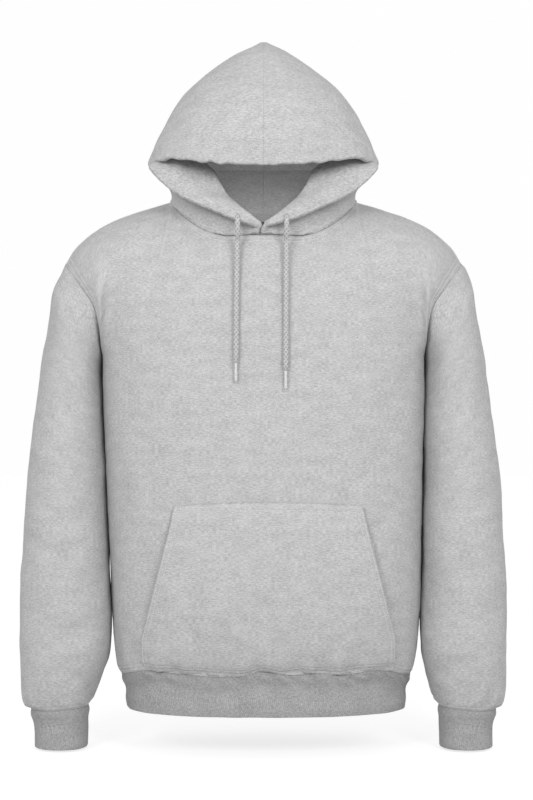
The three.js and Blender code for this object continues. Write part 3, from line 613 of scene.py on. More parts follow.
def stitching(name, lines):
    """Rows of stitches: each stitch is a spindle of thread that is half sunk in the cloth.

    A line is a pair of arrays: its points, and the cloth's normals there."""
    along = np.array([-0.5, 0.0, 0.5]) * STITCH_LENGTH
    thick = np.array([0.4, 1.0, 0.4]) * THREAD_RADIUS
    turn = np.arange(STITCH_SIDES) / STITCH_SIDES * 2 * np.pi
    spindles = []
    for points, normals in lines:
        run = lengths_along(points, 0)
        places = np.arange(STITCH_PITCH / 2, run[-1] - STITCH_PITCH / 2, STITCH_PITCH)
        centre = curve_through(run, points, places)
        up = unit(curve_through(run, normals, places))
        ahead = unit(curve_through(run, points, places + 0.5) - centre)
        aside = unit(np.cross(up, ahead))
        ring = (np.cos(turn)[None, :, None] * aside[:, None]
                + np.sin(turn)[None, :, None] * up[:, None])
        spindles.append(centre[:, None, None] + along[None, :, None, None] * ahead[:, None, None]
                        + thick[None, :, None, None] * ring[:, None])
    spindles = np.concatenate(spindles)
    side = np.arange(STITCH_SIDES)
    above = (side + 1) % STITCH_SIDES + STITCH_SIDES
    half = np.concatenate([np.stack([side, above - STITCH_SIDES, above], -1),
                           np.stack([side, above, side + STITCH_SIDES], -1)])
    fan = np.stack([0 * side[2:], side[2:], side[1:-1]], -1)
    last_ring = 2 * STITCH_SIDES
    one = np.concatenate([half, half + STITCH_SIDES, fan, fan[:, ::-1] + last_ring])
    first_corner = np.arange(len(spindles)) * (last_ring + STITCH_SIDES)
    faces = (first_corner[:, None, None] + one[None]).reshape(-1, 3)
    vertices = spindles.reshape(-1, 3)
    face_uv = vertices[faces][..., [0, 2]]
    return put_mesh(name, vertices, faces, face_uv, sewing_thread)


def rows_from(grid, normals, distance, places):
    """One stitching line for each distance from an edge that lies along the first row."""
    return [(line_on(grid, distance, at), line_on(normals, distance, at)) for at in places]


def rows_at_sides(grid, normals, across, places):
    """Stitching lines at these distances from the first column of a grid, and from the last."""
    lines = []
    for edge, order in ((0, 1), (-1, -1)):
        distance = np.abs(across - across[:, [edge]])[:, ::order]
        lines += rows_from(grid[:, ::order].swapaxes(0, 1), normals[:, ::order].swapaxes(0, 1),
                           distance.T, places)
    return lines


def needle_grooves(distance, places, depth=0.4, width=1.2):
    """The lines that rows of stitches press into the cloth at these distances from its seam."""
    return sum(-depth * np.exp(-((distance - at) / width) ** 2) for at in places)


def cloth_shell(name, outer, inner, uv, material, closed=False, cells=None):
    """A closed wall of cloth between an outer and an inner grid, with rims where cells end."""
    rows, columns = outer.shape[:2]
    cell_columns = columns if closed else columns - 1
    if cells is None:
        cells = np.ones((rows - 1, cell_columns), bool)
    r, c = np.nonzero(cells)
    following = (c + 1) % columns
    layer = rows * columns
    index = np.stack([r * columns + c, r * columns + following,
                      (r + 1) * columns + following, (r + 1) * columns + c], -1)
    corner = np.stack([np.stack([r, c], -1), np.stack([r, c + 1], -1),
                       np.stack([r + 1, c + 1], -1), np.stack([r + 1, c], -1)], 1)
    faces = [index, index[:, ::-1] + layer]
    corners = [corner, corner[:, ::-1]]
    padded = np.pad(cells, 1)
    if closed:
        padded[1:-1, 0] = cells[:, -1]
        padded[1:-1, -1] = cells[:, 0]
    neighbours = [padded[:-2, 1:-1], padded[1:-1, 2:], padded[2:, 1:-1], padded[1:-1, :-2]]
    for side, neighbour in enumerate(neighbours):
        open_side = ~neighbour[r, c]
        end = (side + 1) % 4
        near = index[open_side][:, [end, side]]
        faces.append(np.concatenate([near, near[:, ::-1] + layer], axis=1))
        near_corner = corner[open_side][:, [end, side]]
        corners.append(np.concatenate([near_corner, near_corner[:, ::-1]], axis=1))
    faces = np.concatenate(faces)
    corners = np.concatenate(corners)
    vertices = np.concatenate([outer.reshape(-1, 3), inner.reshape(-1, 3)])
    face_uv = uv[corners[..., 0], corners[..., 1]]
    a, b, c3, d = (vertices[faces[:, k]] for k in range(4))
    volume = (np.cross(b - a, c3 - a) * a).sum() + (np.cross(c3 - a, d - a) * a).sum()
    if volume < 0:
        faces = faces[:, ::-1]
        face_uv = face_uv[:, ::-1]
    used, compact = np.unique(faces, return_inverse=True)
    return put_mesh(name, vertices[used], compact.reshape(faces.shape), face_uv, material)


def lengths_down_and_round(points):
    """Distances run down a closed grid of points, and round it to its first column again."""
    wrapped = np.concatenate([points, points[:, :1]], axis=1)
    return lengths_along(points, 0), lengths_along(wrapped, 1)


# Brushed cotton fleece in heather grey: matt and softly napped, with pale and dark fibres
# in short level streaks. The knit's wales are about 1 mm, drawn at 1.6 mm so that they show.
# A wave texture of scale 1 repeats its bands every pi / 10.
WALE_PITCH = 1.6
heather_fleece, tree = new_material("brushed_cotton_fleece")
fleece_uv, _, fleece_colour = marl(tree, "#d0d0d0", "#a5a5a5", 5.0, 1.3)
fleece_mm = add_node(tree, "ShaderNodeMapping",
                     {"Vector": fleece_uv.outputs["UV"], "Scale": (1000, 1000, 1)})
nap = add_node(tree, "ShaderNodeTexNoise",
               {"Vector": fleece_mm.outputs[0], "Scale": 0.85, "Detail": 3.0, "Roughness": 0.6},
               noise_dimensions="2D")
wales = add_node(tree, "ShaderNodeTexWave",
                 {"Vector": fleece_mm.outputs[0], "Scale": np.pi / 10 / WALE_PITCH,
                  "Distortion": 1.2, "Detail": 1.0, "Detail Scale": 2.0},
                 wave_type="BANDS", bands_direction="X")
wale_share = add_node(tree, "ShaderNodeMath", {0: wales.outputs["Fac"], 1: 0.3},
                      operation="MULTIPLY")
fleece_height = add_node(tree, "ShaderNodeMath",
                         {0: nap.outputs["Fac"], 1: wale_share.outputs[0]}, operation="ADD")
fleece_bump = add_node(tree, "ShaderNodeBump",
                       {"Height": fleece_height.outputs[0], "Strength": 0.4,
                        "Distance": 0.0006})
fleece_shader = add_node(tree, "ShaderNodeBsdfPrincipled",
                         {"Base Color": fleece_colour.outputs[2], "Roughness": 0.95,
                          "Specular IOR Level": 0.15, "Sheen Weight": 0.06,
                          "Sheen Roughness": 0.6, "Normal": fleece_bump.outputs[0]})
add_node(tree, "ShaderNodeOutputMaterial", {"Surface": fleece_shader.outputs[0]})

# Spun polyester sewing thread, a paler grey than the cloth: smoother, with a faint gleam.
sewing_thread, tree = new_material("polyester_sewing_thread")
thread_place = add_node(tree, "ShaderNodeTexCoord")
thread_noise = add_node(tree, "ShaderNodeTexNoise",
                        {"Vector": thread_place.outputs["Object"], "Scale": 900.0})
thread_colour = add_node(tree, "ShaderNodeMix",
                         {0: thread_noise.outputs["Fac"], 6: linear("#cccccc"),
                          7: linear("#e6e6e6")}, data_type="RGBA")
thread_shader = add_node(tree, "ShaderNodeBsdfPrincipled",
                         {"Base Color": thread_colour.outputs[2], "Roughness": 0.6,
                          "Specular IOR Level": 0.35})
add_node(tree, "ShaderNodeOutputMaterial", {"Surface": thread_shader.outputs[0]})

# Folds of the panels, by the distance round from the centre and the height.
front_folds = [
    (22, 1.6, [(150, -330), (138, -375), (150, -420)]),
    (16, 1.1, [(168, -400), (150, -440), (146, -470)]),
    (20, 1.5, [(-178, -300), (-150, -350), (-140, -420)]),
    (24, 1.6, [(-210, -215), (-180, -260), (-150, -330)]),
    (22, 1.5, [(205, -220), (182, -268), (160, -318)]),
    (16, 1.2, [(70, -330), (95, -360), (135, -372)]),
    (14, 1.3, [(196, -560), (184, -590), (186, -618)]),
    (10, 1.1, [(215, -575), (203, -600), (200, -624)]),
    (12, 1.2, [(-198, -570), (-190, -600), (-196, -622)]),
    (10, 1.0, [(-235, -560), (-222, -595), (-224, -622)]),
    (26, 1.4, [(-60, -90), (-75, -140), (-70, -200)]),
    (26, 1.2, [(90, -100), (104, -150), (96, -210)]),
    (12, 1.0, [(252, -480), (244, -530), (250, -580)]),
    (14, 1.2, [(-255, -460), (-246, -520), (-252, -575)]),
]
back_folds = [
    (26, 2.0, [(-215, -215), (-170, -275), (-110, -315)]),
    (26, 2.1, [(220, -212), (180, -262), (105, -330)]),
    (22, 1.5, [(-205, -290), (-150, -345), (-80, -370)]),
    (24, 1.6, [(208, -300), (150, -352), (92, -390)]),
    (30, 1.6, [(-60, -420), (0, -432), (72, -415)]),
    (26, 1.5, [(-120, -500), (-40, -520), (40, -505)]),
    (22, 1.4, [(30, -560), (90, -548), (160, -560)]),
    (16, 1.4, [(-150, -560), (-138, -590), (-142, -618)]),
    (14, 1.4, [(-62, -565), (-52, -595), (-56, -620)]),
    (14, 1.5, [(40, -570), (52, -598), (48, -621)]),
    (15, 1.3, [(128, -562), (120, -592), (126, -620)]),
    (12, 1.1, [(205, -560), (196, -592), (200, -622)]),
    (30, 1.5, [(-30, -60), (-36, -120), (-30, -190)]),
    (30, 1.4, [(60, -70), (74, -130), (70, -200)]),
]

NECK_STEPS = 44
for side, panel_name, creases in ((-1, "front", front_folds), (1, "back", back_folds)):
    neck_part = even_angles(0, NECK_SHARE_OF_PANEL, np.linspace(0, 1, NECK_STEPS + 1))
    outer_part = even_angles(NECK_SHARE_OF_PANEL, 90, graded(170, 3.4, fine_end=1.3))
    half = np.concatenate([neck_part, outer_part[1:]])
    signed = np.concatenate([-half[:0:-1], half])
    yoke_shares = graded(235, 3.8, fine_start=1.2)
    drops = graded(416, 3.9, fine_end=1.2)[1:]
    size = np.abs(signed)
    angle, share = np.meshgrid(size, yoke_shares)
    yoke = yoke_point(angle, share, side)
    angle, drop = np.meshgrid(size, drops)
    signed_grid = np.broadcast_to(signed, angle.shape)
    around = signed_grid if side < 0 else np.sign(signed_grid + 1e-9) * 180 - signed_grid
    z = UNDERARM_Z + (hem_seam_z(around) - UNDERARM_Z) * drop
    lower = body_point(around, z)
    yoke[..., 0] *= np.where(signed < 0, -1, 1)
    points = np.concatenate([yoke, lower])
    at_side = size == 90
    points[:, at_side, 1] += side * SEAM_GAP / 2
    on_shoulder = size > NECK_SHARE_OF_PANEL
    points[0, on_shoulder, 1] += side * SEAM_GAP / 2
    normals = grid_normals(points, side)
    down = lengths_along(points, 0)
    across = lengths_along(points, 1)
    middle = across[:, [len(signed) // 2]]
    u = across - middle
    yoke_rows = len(yoke_shares)
    v = down[yoke_rows - 1] - down + UNDERARM_Z
    to_top = down
    to_hem = down[-1] - down
    to_side = np.minimum(across, across[:, -1:] - across)
    height = points[..., 2]
    under = np.exp(-(np.maximum(UNDERARM_Z - height, 0) / 6) ** 2)[..., None]
    side_out = unit(points * (1, 0, 0)) * (1 - under) + armhole_out(points) * under
    past_neck = np.maximum(np.abs(u[0]) - u[0, len(signed) // 2 + NECK_STEPS], 0)
    on_neck = np.exp(-(past_neck / 6) ** 2)[:, None]
    top_out = neck_out(points) * on_neck + np.array([0, 0, 1]) * (1 - on_neck)
    normals = turned_to_seam(normals, unit(side_out), to_side)
    normals = turned_to_seam(normals, level_out(points, 0, 0), to_hem)
    normals = turned_to_seam(normals, unit(top_out), to_top)
    to_seam = np.minimum(np.minimum(to_side, to_hem), to_top)
    # The cloth that the pocket covers is kept smoother than the rest of the front.
    beside_pocket = smooth((np.abs(u) - 120) / 40) if side < 0 else 1.0
    above_pocket = smooth((height + 385) / 20) if side < 0 else 1.0
    free = np.maximum(beside_pocket, above_pocket)
    relief = folds(u, height, creases) * np.maximum(free, 0.25)
    relief += 0.8 * waves(u, v, 120, 11 + side) * np.maximum(free, 0.3)
    relief += 0.28 * waves(u, v, 34, 21 + side) * np.maximum(free, 0.3)
    puckers = ripples(u, 13, 31 + side) * np.exp(-to_hem / 11) * 0.8
    puckers += ripples(u, 27, 41 + side) * np.exp(-to_hem / 26) * 1.0
    relief += puckers * np.maximum(free, 0.3)
    relief += ripples(v, 12, 51 + side) * np.exp(-to_side / 9) * 0.35
    side_depth = armhole_depth(points) * under[..., 0] + SEAM_ROLL * (1 - under[..., 0])
    roll = np.minimum(seam_roll(to_side, side_depth), seam_roll(to_hem, HEM_ROLL))
    relief = relief * away_from_seam(to_seam) + np.minimum(roll, seam_roll(to_top, NECK_ROLL))
    relief += needle_grooves(to_hem, HEM_NEEDLES) + needle_grooves(to_top, TOP_NEEDLES)
    above = (np.arange(len(points)) < yoke_rows)[:, None]
    relief += above * needle_grooves(to_side, ARMHOLE_NEEDLES)
    outer = points + normals * relief[..., None]
    inner = outer - normals * FLEECE
    uv = np.stack([u, v], -1)
    panel = cloth_shell(f"{panel_name}_panel", outer, inner, uv, heather_fleece)
    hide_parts(panel_name)
    lines = rows_from(outer[::-1], normals[::-1], to_hem[::-1], HEM_NEEDLES)
    lines += rows_from(outer, normals, to_top, TOP_NEEDLES)
    lines += rows_at_sides(outer[:yoke_rows], normals[:yoke_rows], across[:yoke_rows],
                           ARMHOLE_NEEDLES)
    panel_stitches = stitching(f"{panel_name}_stitches", lines)


# Sleeves: one panel of the same fleece each, rolled into a tube with its seam under the
# arm, set into the dropped armhole and gathered a little into the cuff.
SLEEVE_POWER = 2.2
SLEEVE_FULLNESS = 1.6
SLEEVE_COLUMNS = 132
CUFF_NEEDLES = (4,)
LAST_RING = 12
CUFF_CENTRE_X = 276
CUFF_CENTRE_Y = -18
sleeve_rings = table("ring outer_x outer_z inner_x inner_z half_depth lean", [
    (1, 283.5, -116, 219.3, -224, 80, 0),
    (2, 290, -158, 218.9, -247, 79, -2),
    (3, 299.5, -220, 218.4, -286, 77, -4),
    (4, 308, -285, 217.3, -335, 74, -7),
    (5, 316, -350, 215.7, -385, 72, -10),
    (6, 322, -420, 214.3, -440, 69.5, -13),
    (7, 325.5, -490, 212.7, -500, 67, -15),
    (8, 327, -555, 210.6, -557, 64, -17),
    (9, 327.5, -606, 212.5, -600, 60, -18),
    (10, 326, -644, 221, -636, 54, -18),
    (11, 322.5, -668, 228.5, -660, 48.5, -18),
    (12, 315.5, -682, 236.5, -678, 42.5, -18),
])


def signed_power(value, exponent):
    """A power that keeps the sign of its base."""
    return np.sign(value) * np.abs(value) ** exponent


def ring_point(turn, ring, sign):
    """A squared oval slanted between its outermost point and its innermost one.

    The innermost line keeps clear of the leaning body. sign is 1 for the right sleeve."""
    section = sleeve_rings(ring)
    along = signed_power(np.cos(np.radians(turn)), 2 / SLEEVE_POWER)
    across = signed_power(np.sin(np.radians(turn)), 2 / SLEEVE_POWER)
    inward = (1 - along) / 2
    inner_x = section["inner_x"] + sign * body_lean(section["inner_z"]) * smooth((11 - ring) / 2.5)
    x = section["outer_x"] + (inner_x - section["outer_x"]) * inward
    z = section["outer_z"] + (section["inner_z"] - section["outer_z"]) * inward
    return np.stack([x, section["lean"] - section["half_depth"] * across, z], -1)


def sleeve_point(turn, ring, sign):
    """From the armhole seam by a smooth curve to the first rings, then from ring to ring."""
    start = np.where((turn >= 0)[:, None], armhole_point(np.abs(turn), -1),
                     armhole_point(np.abs(turn), 1)) + (SEAM_GAP, 0, 0)
    guides = np.stack([start, ring_point(turn, np.full_like(turn, 1.0), sign),
                       ring_point(turn, np.full_like(turn, 2.0), sign)])
    upper = curve_through([0, 1, 2], guides, np.minimum(ring, 2))
    turn_grid, ring_grid = np.meshgrid(turn, np.maximum(ring, 1))
    lower = ring_point(turn_grid, ring_grid, sign)
    share = smooth(ring - 1)[:, None, None]
    return upper + (lower - upper) * share


# Folds of a sleeve, by the distance round from its outermost line (the front is positive)
# and the height.
sleeve_folds = {
    "left": [
        (15, 1.8, [(95, -250), (120, -300), (150, -320)]),
        (14, 1.6, [(60, -400), (95, -425), (140, -430)]),
        (16, 1.9, [(50, -452), (90, -470), (130, -462)]),
        (15, 1.6, [(20, -350), (60, -368), (110, -360)]),
        (14, 1.8, [(70, -560), (105, -580), (140, -572)]),
        (12, 1.7, [(95, -622), (118, -640), (140, -650)]),
        (9, 1.3, [(60, -650), (66, -666), (60, -680)]),
        (8, 1.2, [(88, -655), (84, -668), (88, -681)]),
        (18, 2.0, [(-60, -250), (-110, -300), (-150, -310)]),
        (17, 2.0, [(-30, -380), (-85, -410), (-140, -405)]),
        (17, 2.2, [(-40, -440), (-90, -455), (-130, -440)]),
        (16, 1.8, [(-50, -520), (-95, -545), (-130, -540)]),
        (14, 1.6, [(-40, -610), (-80, -630), (-120, -622)]),
    ],
    "right": [
        (16, 1.7, [(100, -240), (122, -285), (150, -300)]),
        (15, 1.7, [(55, -380), (95, -410), (140, -405)]),
        (14, 1.4, [(40, -470), (80, -492), (125, -490)]),
        (16, 1.6, [(30, -540), (75, -556), (130, -545)]),
        (13, 1.8, [(85, -600), (110, -622), (138, -630)]),
        (9, 1.3, [(48, -652), (54, -668), (50, -681)]),
        (8, 1.1, [(76, -650), (80, -668), (76, -680)]),
        (18, 2.0, [(-50, -240), (-100, -290), (-150, -300)]),
        (17, 2.1, [(-36, -370), (-90, -396), (-140, -395)]),
        (17, 2.0, [(-46, -430), (-95, -450), (-135, -436)]),
        (16, 1.7, [(-40, -530), (-90, -550), (-130, -548)]),
        (14, 1.5, [(-50, -620), (-84, -636), (-118, -626)]),
    ],
}


def even_turns(ring, count):
    """Turns from -180 to 180 whose points lie evenly round a sleeve's ring."""
    turns = np.linspace(-180, 180, 721)
    run = lengths_along(ring_point(turns, np.full_like(turns, ring), 1), 0)
    return np.interp(np.arange(count) / count * run[-1], run, turns)


turns = even_turns(3.0, SLEEVE_COLUMNS)
ring_shares = graded(590, 3.8, fine_start=1.3, fine_end=1.2)
for side_name, sign in (("left", -1), ("right", 1)):
    rings = ring_shares * LAST_RING
    points = sleeve_point(turns, rings, sign)
    points[..., 0] *= sign
    normals = grid_normals(points, sign, closed=True)
    down, across = lengths_down_and_round(points)
    outermost = np.argmin(np.abs(turns))
    round_uv = across - across[:, [outermost]]
    u = round_uv[:, :-1]
    v = points[..., 2]
    to_cuff = down[-1] - down
    relief = folds(u, v, sleeve_folds[side_name])
    relief += 0.9 * waves(u, v, 95, 61 + sign) + 0.3 * waves(u, v, 32, 63 + sign)
    relief += ripples(u, 15, 65 + sign) * np.exp(-to_cuff / 13)
    relief += ripples(u, 30, 67 + sign) * np.exp(-to_cuff / 30) * 1.2
    relief += ripples(u, 14, 69 + sign) * np.exp(-down / 9) * 0.35
    to_underarm = np.minimum(across, across[:, -1:] - across)[:, :-1]
    relief += seam_roll(to_underarm, 1.0, 2.2) + SLEEVE_FULLNESS
    normals = turned_to_seam(normals, armhole_out(points), down)
    normals = turned_to_seam(normals, level_out(points, sign * CUFF_CENTRE_X, CUFF_CENTRE_Y), to_cuff)
    to_seam = np.minimum(down, to_cuff)
    relief = relief * away_from_seam(to_seam) + seam_roll(to_cuff)
    relief += seam_roll(down, armhole_depth(points))
    relief += needle_grooves(to_cuff, CUFF_NEEDLES)
    outer = points + normals * relief[..., None]
    inner = outer - normals * FLEECE
    uv = np.stack([round_uv, np.broadcast_to(-down[:, [outermost]], round_uv.shape)], -1)
    sleeve = cloth_shell(f"sleeve_{side_name}_cloth", outer, inner, uv, heather_fleece, closed=True)
    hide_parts(f"sleeve_{side_name}")
    lines = rows_from(outer[::-1], normals[::-1], to_cuff[::-1], CUFF_NEEDLES)
    sleeve_stitches = stitching(f"sleeve_{side_name}_stitches", lines)


# Cuffs and hem band: tubes of darker rib knit, folded double and sewn to the gathered
# edges of the sleeves and the body, so they grip and the fleece blouses over them.
RIB_CLOTH = 3
HEM_BOTTOM_Z = -681.5
CUFF_BOTTOM_Z = -734
CUFF_TOP_Z = -680
CUFF_BOTTOM_CENTRE_X = 274
CUFF_COLUMNS = 150
BAND_COLUMNS = 440
cuff_rings = table("z half_width half_depth", [
    (-680, 40, 42.5), (-688, 37.6, 40.4), (-698, 36.2, 39), (-712, 35.4, 38.4), (-734, 34.8, 37.6),
])

# Cotton rib knit in a darker heather grey: its fine upright ribs are about 2.6 mm apart, with shade
# painted into the valleys between them.
RIB_PITCH = 2.6
cotton_rib, tree = new_material("cotton_rib_knit")
rib_uv, _, rib_colour = marl(tree, "#c2c2c2", "#929292", 3.2, 2.2)
rib_mm = add_node(tree, "ShaderNodeMapping",
                  {"Vector": rib_uv.outputs["UV"], "Scale": (1000, 1000, 1)})
rib_wave = add_node(tree, "ShaderNodeTexWave",
                    {"Vector": rib_mm.outputs[0], "Scale": np.pi / 10 / RIB_PITCH,
                     "Distortion": 0.7, "Detail": 1.0, "Detail Scale": 1.5},
                    wave_type="BANDS", bands_direction="X")
# Painted shade: the colour turns towards a darker grey in the low bands between the ribs.
rib_shade = add_node(tree, "ShaderNodeMapRange",
                     {"Value": rib_wave.outputs["Fac"], "To Min": 0.3, "To Max": 0.0})
rib_painted_shade = add_node(tree, "ShaderNodeMix",
                    {0: rib_shade.outputs["Result"], 6: rib_colour.outputs[2],
                     7: linear("#808080")}, data_type="RGBA")
rib_nap = add_node(tree, "ShaderNodeTexNoise",
                   {"Vector": rib_mm.outputs[0], "Scale": 0.9, "Detail": 3.0},
                   noise_dimensions="2D")
rib_height = add_node(tree, "ShaderNodeMath",
                      {0: rib_wave.outputs["Fac"], 1: rib_nap.outputs["Fac"]}, operation="ADD")
rib_bump = add_node(tree, "ShaderNodeBump",
                    {"Height": rib_height.outputs[0], "Strength": 0.6, "Distance": 0.0007})
rib_shader = add_node(tree, "ShaderNodeBsdfPrincipled",
                      {"Base Color": rib_painted_shade.outputs[2], "Roughness": 0.95,
                       "Specular IOR Level": 0.15, "Normal": rib_bump.outputs[0]})
add_node(tree, "ShaderNodeOutputMaterial", {"Surface": rib_shader.outputs[0]})


def rounded_edge(distance, thickness):
    """How far each face of a folded edge draws in: a half circle over half the thickness."""
    half = thickness / 2
    inside = np.clip(1 - distance / half, 0, 1)
    return half * (1 - np.sqrt(1 - inside ** 2)) * 0.92


def cuff_point(turn, down):
    """From the sleeve's last ring, just below it, into an upright squared oval."""
    seam = ring_point(turn, np.full_like(turn, float(LAST_RING)), 1) - (0, 0, SEAM_GAP)
    z = CUFF_TOP_Z + (CUFF_BOTTOM_Z - CUFF_TOP_Z) * down
    size = cuff_rings(z)
    centre = CUFF_CENTRE_X + (CUFF_BOTTOM_CENTRE_X - CUFF_CENTRE_X) * smooth(down * 2)
    x = centre + size["half_width"] * signed_power(np.cos(np.radians(turn)), 2 / SLEEVE_POWER)
    y = CUFF_CENTRE_Y - size["half_depth"] * signed_power(np.sin(np.radians(turn)), 2 / SLEEVE_POWER)
    return seam + (np.stack([x, y, z], -1) - seam) * smooth(down / 0.3)[..., None]


def rib_tube(name, points, normals, relief, down, across):
    """A tube of rib knit, folded double: its lower edge is round where the cloth turns back."""
    draw_in = rounded_edge(down[-1] - down, RIB_CLOTH)
    outer = points + normals * (relief - draw_in)[..., None]
    inner = points + normals * (relief - RIB_CLOTH + draw_in)[..., None]
    uv = np.stack([across, np.broadcast_to(-down[:, :1], across.shape)], -1)
    return cloth_shell(name, outer, inner, uv, cotton_rib, closed=True)


turns = even_turns(float(LAST_RING), CUFF_COLUMNS)
downs = graded(56, 1.5, fine_start=0.8, fine_end=0.5, margin=5)
for side_name, sign in (("left", -1), ("right", 1)):
    turn_grid, down_grid = np.meshgrid(turns, downs)
    points = cuff_point(turn_grid, down_grid)
    points[..., 0] *= sign
    normals = grid_normals(points, sign, closed=True)
    down, across = lengths_down_and_round(points)
    u = across[:, :-1]
    normals = turned_to_seam(normals, level_out(points, sign * CUFF_CENTRE_X, CUFF_CENTRE_Y), down)
    relief = ripples(u, 16, 75 + sign) * np.exp(-down / 8) * 0.7
    relief += 0.4 * waves(u, down, 38, 77 + sign)
    relief += 0.9 + 0.8 * np.exp(-((down - 8) / 6) ** 2)
    relief = relief * away_from_seam(down) + seam_roll(down)
    cuff = rib_tube(f"cuff_{side_name}_rib", points, normals, relief, down, across)
    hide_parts(f"cuff_{side_name}")


angles = np.linspace(-180, 180, 2881)
run = lengths_along(body_point(angles, np.full_like(angles, -650.0)), 0)
angles = np.interp(np.arange(BAND_COLUMNS) / BAND_COLUMNS * run[-1], run, angles)
angle_grid, down_grid = np.meshgrid(angles, graded(58, 2.2, fine_start=1.0, fine_end=0.6, margin=6))
seam_z = hem_seam_z(angle_grid) - SEAM_GAP
points = body_point(angle_grid, seam_z + (HEM_BOTTOM_Z - seam_z) * down_grid)
normals = grid_normals(points, -1, closed=True)
down, across = lengths_down_and_round(points)
u = across[:, :-1]
to_end = down[-1] - down
normals = turned_to_seam(normals, level_out(points, 0, 0), down)
relief = ripples(u, 24, 81) * np.exp(-((down - 8) / 8) ** 2) * 0.9
relief += 0.7 * np.exp(-((down - 8) / 6) ** 2) - 1.3 * np.exp(-((down - 22) / 9) ** 2)
relief += 0.5 * waves(u, down, 60, 83) + ripples(u, 60, 85) * np.exp(-to_end / 20) * 0.4
relief = relief * away_from_seam(down, 3.5) + seam_roll(down, HEM_ROLL)
hem = rib_tube("hem_band_rib", points, normals, relief, down, across)
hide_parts("hem_band")


# Hood: two panels of double fleece, joined by a seam over the crown and down the back.
# The front edge is folded round the drawcord. Below the brim it turns out as two lapels,
# whose lower ends cross at the throat, the viewer's right one on top.
HOOD_CLOTH = 4
HOOD_EDGE_NEEDLES = (25,)
HOOD_FOOT_NEEDLES = (6,)
HOOD_HEART_Y = 10
HOOD_HEART_Z = 80
# The two panels come from different places of the cloth, so their streaks don't mirror.
CUT_APART_ACROSS = 410
CUT_APART_ALONG = 170
GUIDE_COLUMNS = 13
BRIM_ROW = 8
RIDGE_ROW = 15
CORNER_COLUMN = 4
THROAT_ANGLE = 2.2
STAND_COLUMN = 6.5
NECK_STEP = 15
LAPEL_CROWN = 5
THROAT_REACH = 9
THROAT_LIFT = 2
hood_lower_sections = table("row edge_x edge_y edge_z roll_x roll_y roll_z stand_x stand_y"
                            " stand_z side_x side_y side_z back_y back_z", [
    (1, 8, -106, -40.5, 9, -100, -36, 113, -42, -3, 127, 4, 12, 78, 1.5),
    (2, 38, -111, -31, 15, -104, -27, 110, -46, 6, 128, 2, 20, 84, 14),
    (3, 83, -100, -11, 34, -95, -10, 110, -46, 15, 132, 0, 26, 92, 27),
    (4, 114, -87, 5, 48, -84, 3, 113, -43, 24, 138, -3, 33, 100, 38),
    (5, 134, -77, 21, 59, -74, 21, 120, -38, 31, 144, -6, 39, 107, 47),
    (6, 149, -67, 37, 69, -61, 40, 130, -31, 38, 149, -10, 44, 112, 54),
    (7, 152.5, -59, 44, 98, -46, 58, 142, -23, 46, 152, -13, 48, 116, 59),
])
hood_upper_sections = table("row front_y front_z side_x side_y side_z back_y back_z power", [
    (8, -119, 39, 152, -15, 51, 118, 62, 2.3),
    (9, -121, 66, 147, -8, 75, 123, 87, 2.3),
    (10, -117.5, 95, 135.5, 0, 101, 125, 111, 2.25),
    (11, -107.5, 124, 120.5, 6, 129, 122, 136, 2.2),
    (12, -91.5, 151, 100.5, 12, 156, 112, 160, 2.1),
    (13, -69, 178, 73, 18, 180, 96, 183, 2.0),
    (14, -42, 203, 38, 22, 204, 72, 205, 1.9),
])
RIDGE_FRONT_Y = -14
RIDGE_BACK_Y = 48
RIDGE_TOP_Z = 224.5
RIDGE_END_DROP = 9
hood_angles = np.array([0, 18, 36, 54, 72, 76, 80, 85, 91, 103, 125, 152, 180], float)


def hood_foot(column):
    """The hood's lower edge, just above the neck seam, from the throat to the back."""
    first = THROAT_ANGLE + (NECK_STEP - THROAT_ANGLE) * (column - CORNER_COLUMN) / (
        STAND_COLUMN - CORNER_COLUMN)
    second = (column - STAND_COLUMN) * 2 * NECK_STEP + NECK_STEP
    return neck_point(np.minimum(np.where(column < STAND_COLUMN, first, second), 180)) + (
        0, 0, SEAM_GAP)


def hood_oval(angle, section):
    """A quarter of a squared oval from the front to the side, and one to the back."""
    exponent = 2 / section["power"]
    x = section["side_x"] * np.maximum(np.sin(np.radians(angle)), 0) ** exponent
    to_side = 1 - np.abs(np.cos(np.radians(angle))) ** exponent
    front = angle <= 90
    end_y = np.where(front, section["front_y"], section["back_y"])
    end_z = np.where(front, section["front_z"], section["back_z"])
    y = end_y + (section["side_y"] - end_y) * to_side
    z = end_z + (section["side_z"] - end_z) * to_side
    return np.stack([x, y, z], -1)


def hood_guide_row(row):
    """Guide points of the right panel at a whole row, one for each guide column."""
    if row == 0:
        return hood_foot(np.maximum(np.arange(float(GUIDE_COLUMNS)), CORNER_COLUMN))
    if row >= RIDGE_ROW:
        share = (1 - np.cos(np.radians(hood_angles))) / 2
        y = RIDGE_FRONT_Y + (RIDGE_BACK_Y - RIDGE_FRONT_Y) * share
        return np.stack([0 * y, y, RIDGE_TOP_Z - RIDGE_END_DROP * (2 * share - 1) ** 2], -1)
    if row >= BRIM_ROW:
        return hood_oval(hood_angles, hood_upper_sections(row))
    section = hood_lower_sections(row)
    edge, roll, stand = (np.array([section[f"{line}_{axis}"] for axis in "xyz"])
                         for line in ("edge", "roll", "stand"))
    crown = LAPEL_CROWN * min(np.linalg.norm(edge - roll) / 80, 1)
    lapel = (edge + roll) / 2 + (0, -crown, crown)
    low_row = smooth((3.5 - row) / 2.5)
    behind = (roll + stand) / 2 - (0, 12 * low_row, 10 * low_row)
    section.update(power=np.array(2.3), front_y=section["side_y"], front_z=section["side_z"])
    side_and_back = hood_oval(hood_angles[CORNER_COLUMN + 5:], section)
    lower = np.stack([edge] * (CORNER_COLUMN + 1) + [lapel, roll, behind, stand])
    return np.concatenate([lower, side_and_back])


hood_guides = np.stack([hood_guide_row(row) for row in range(RIDGE_ROW + 1)])


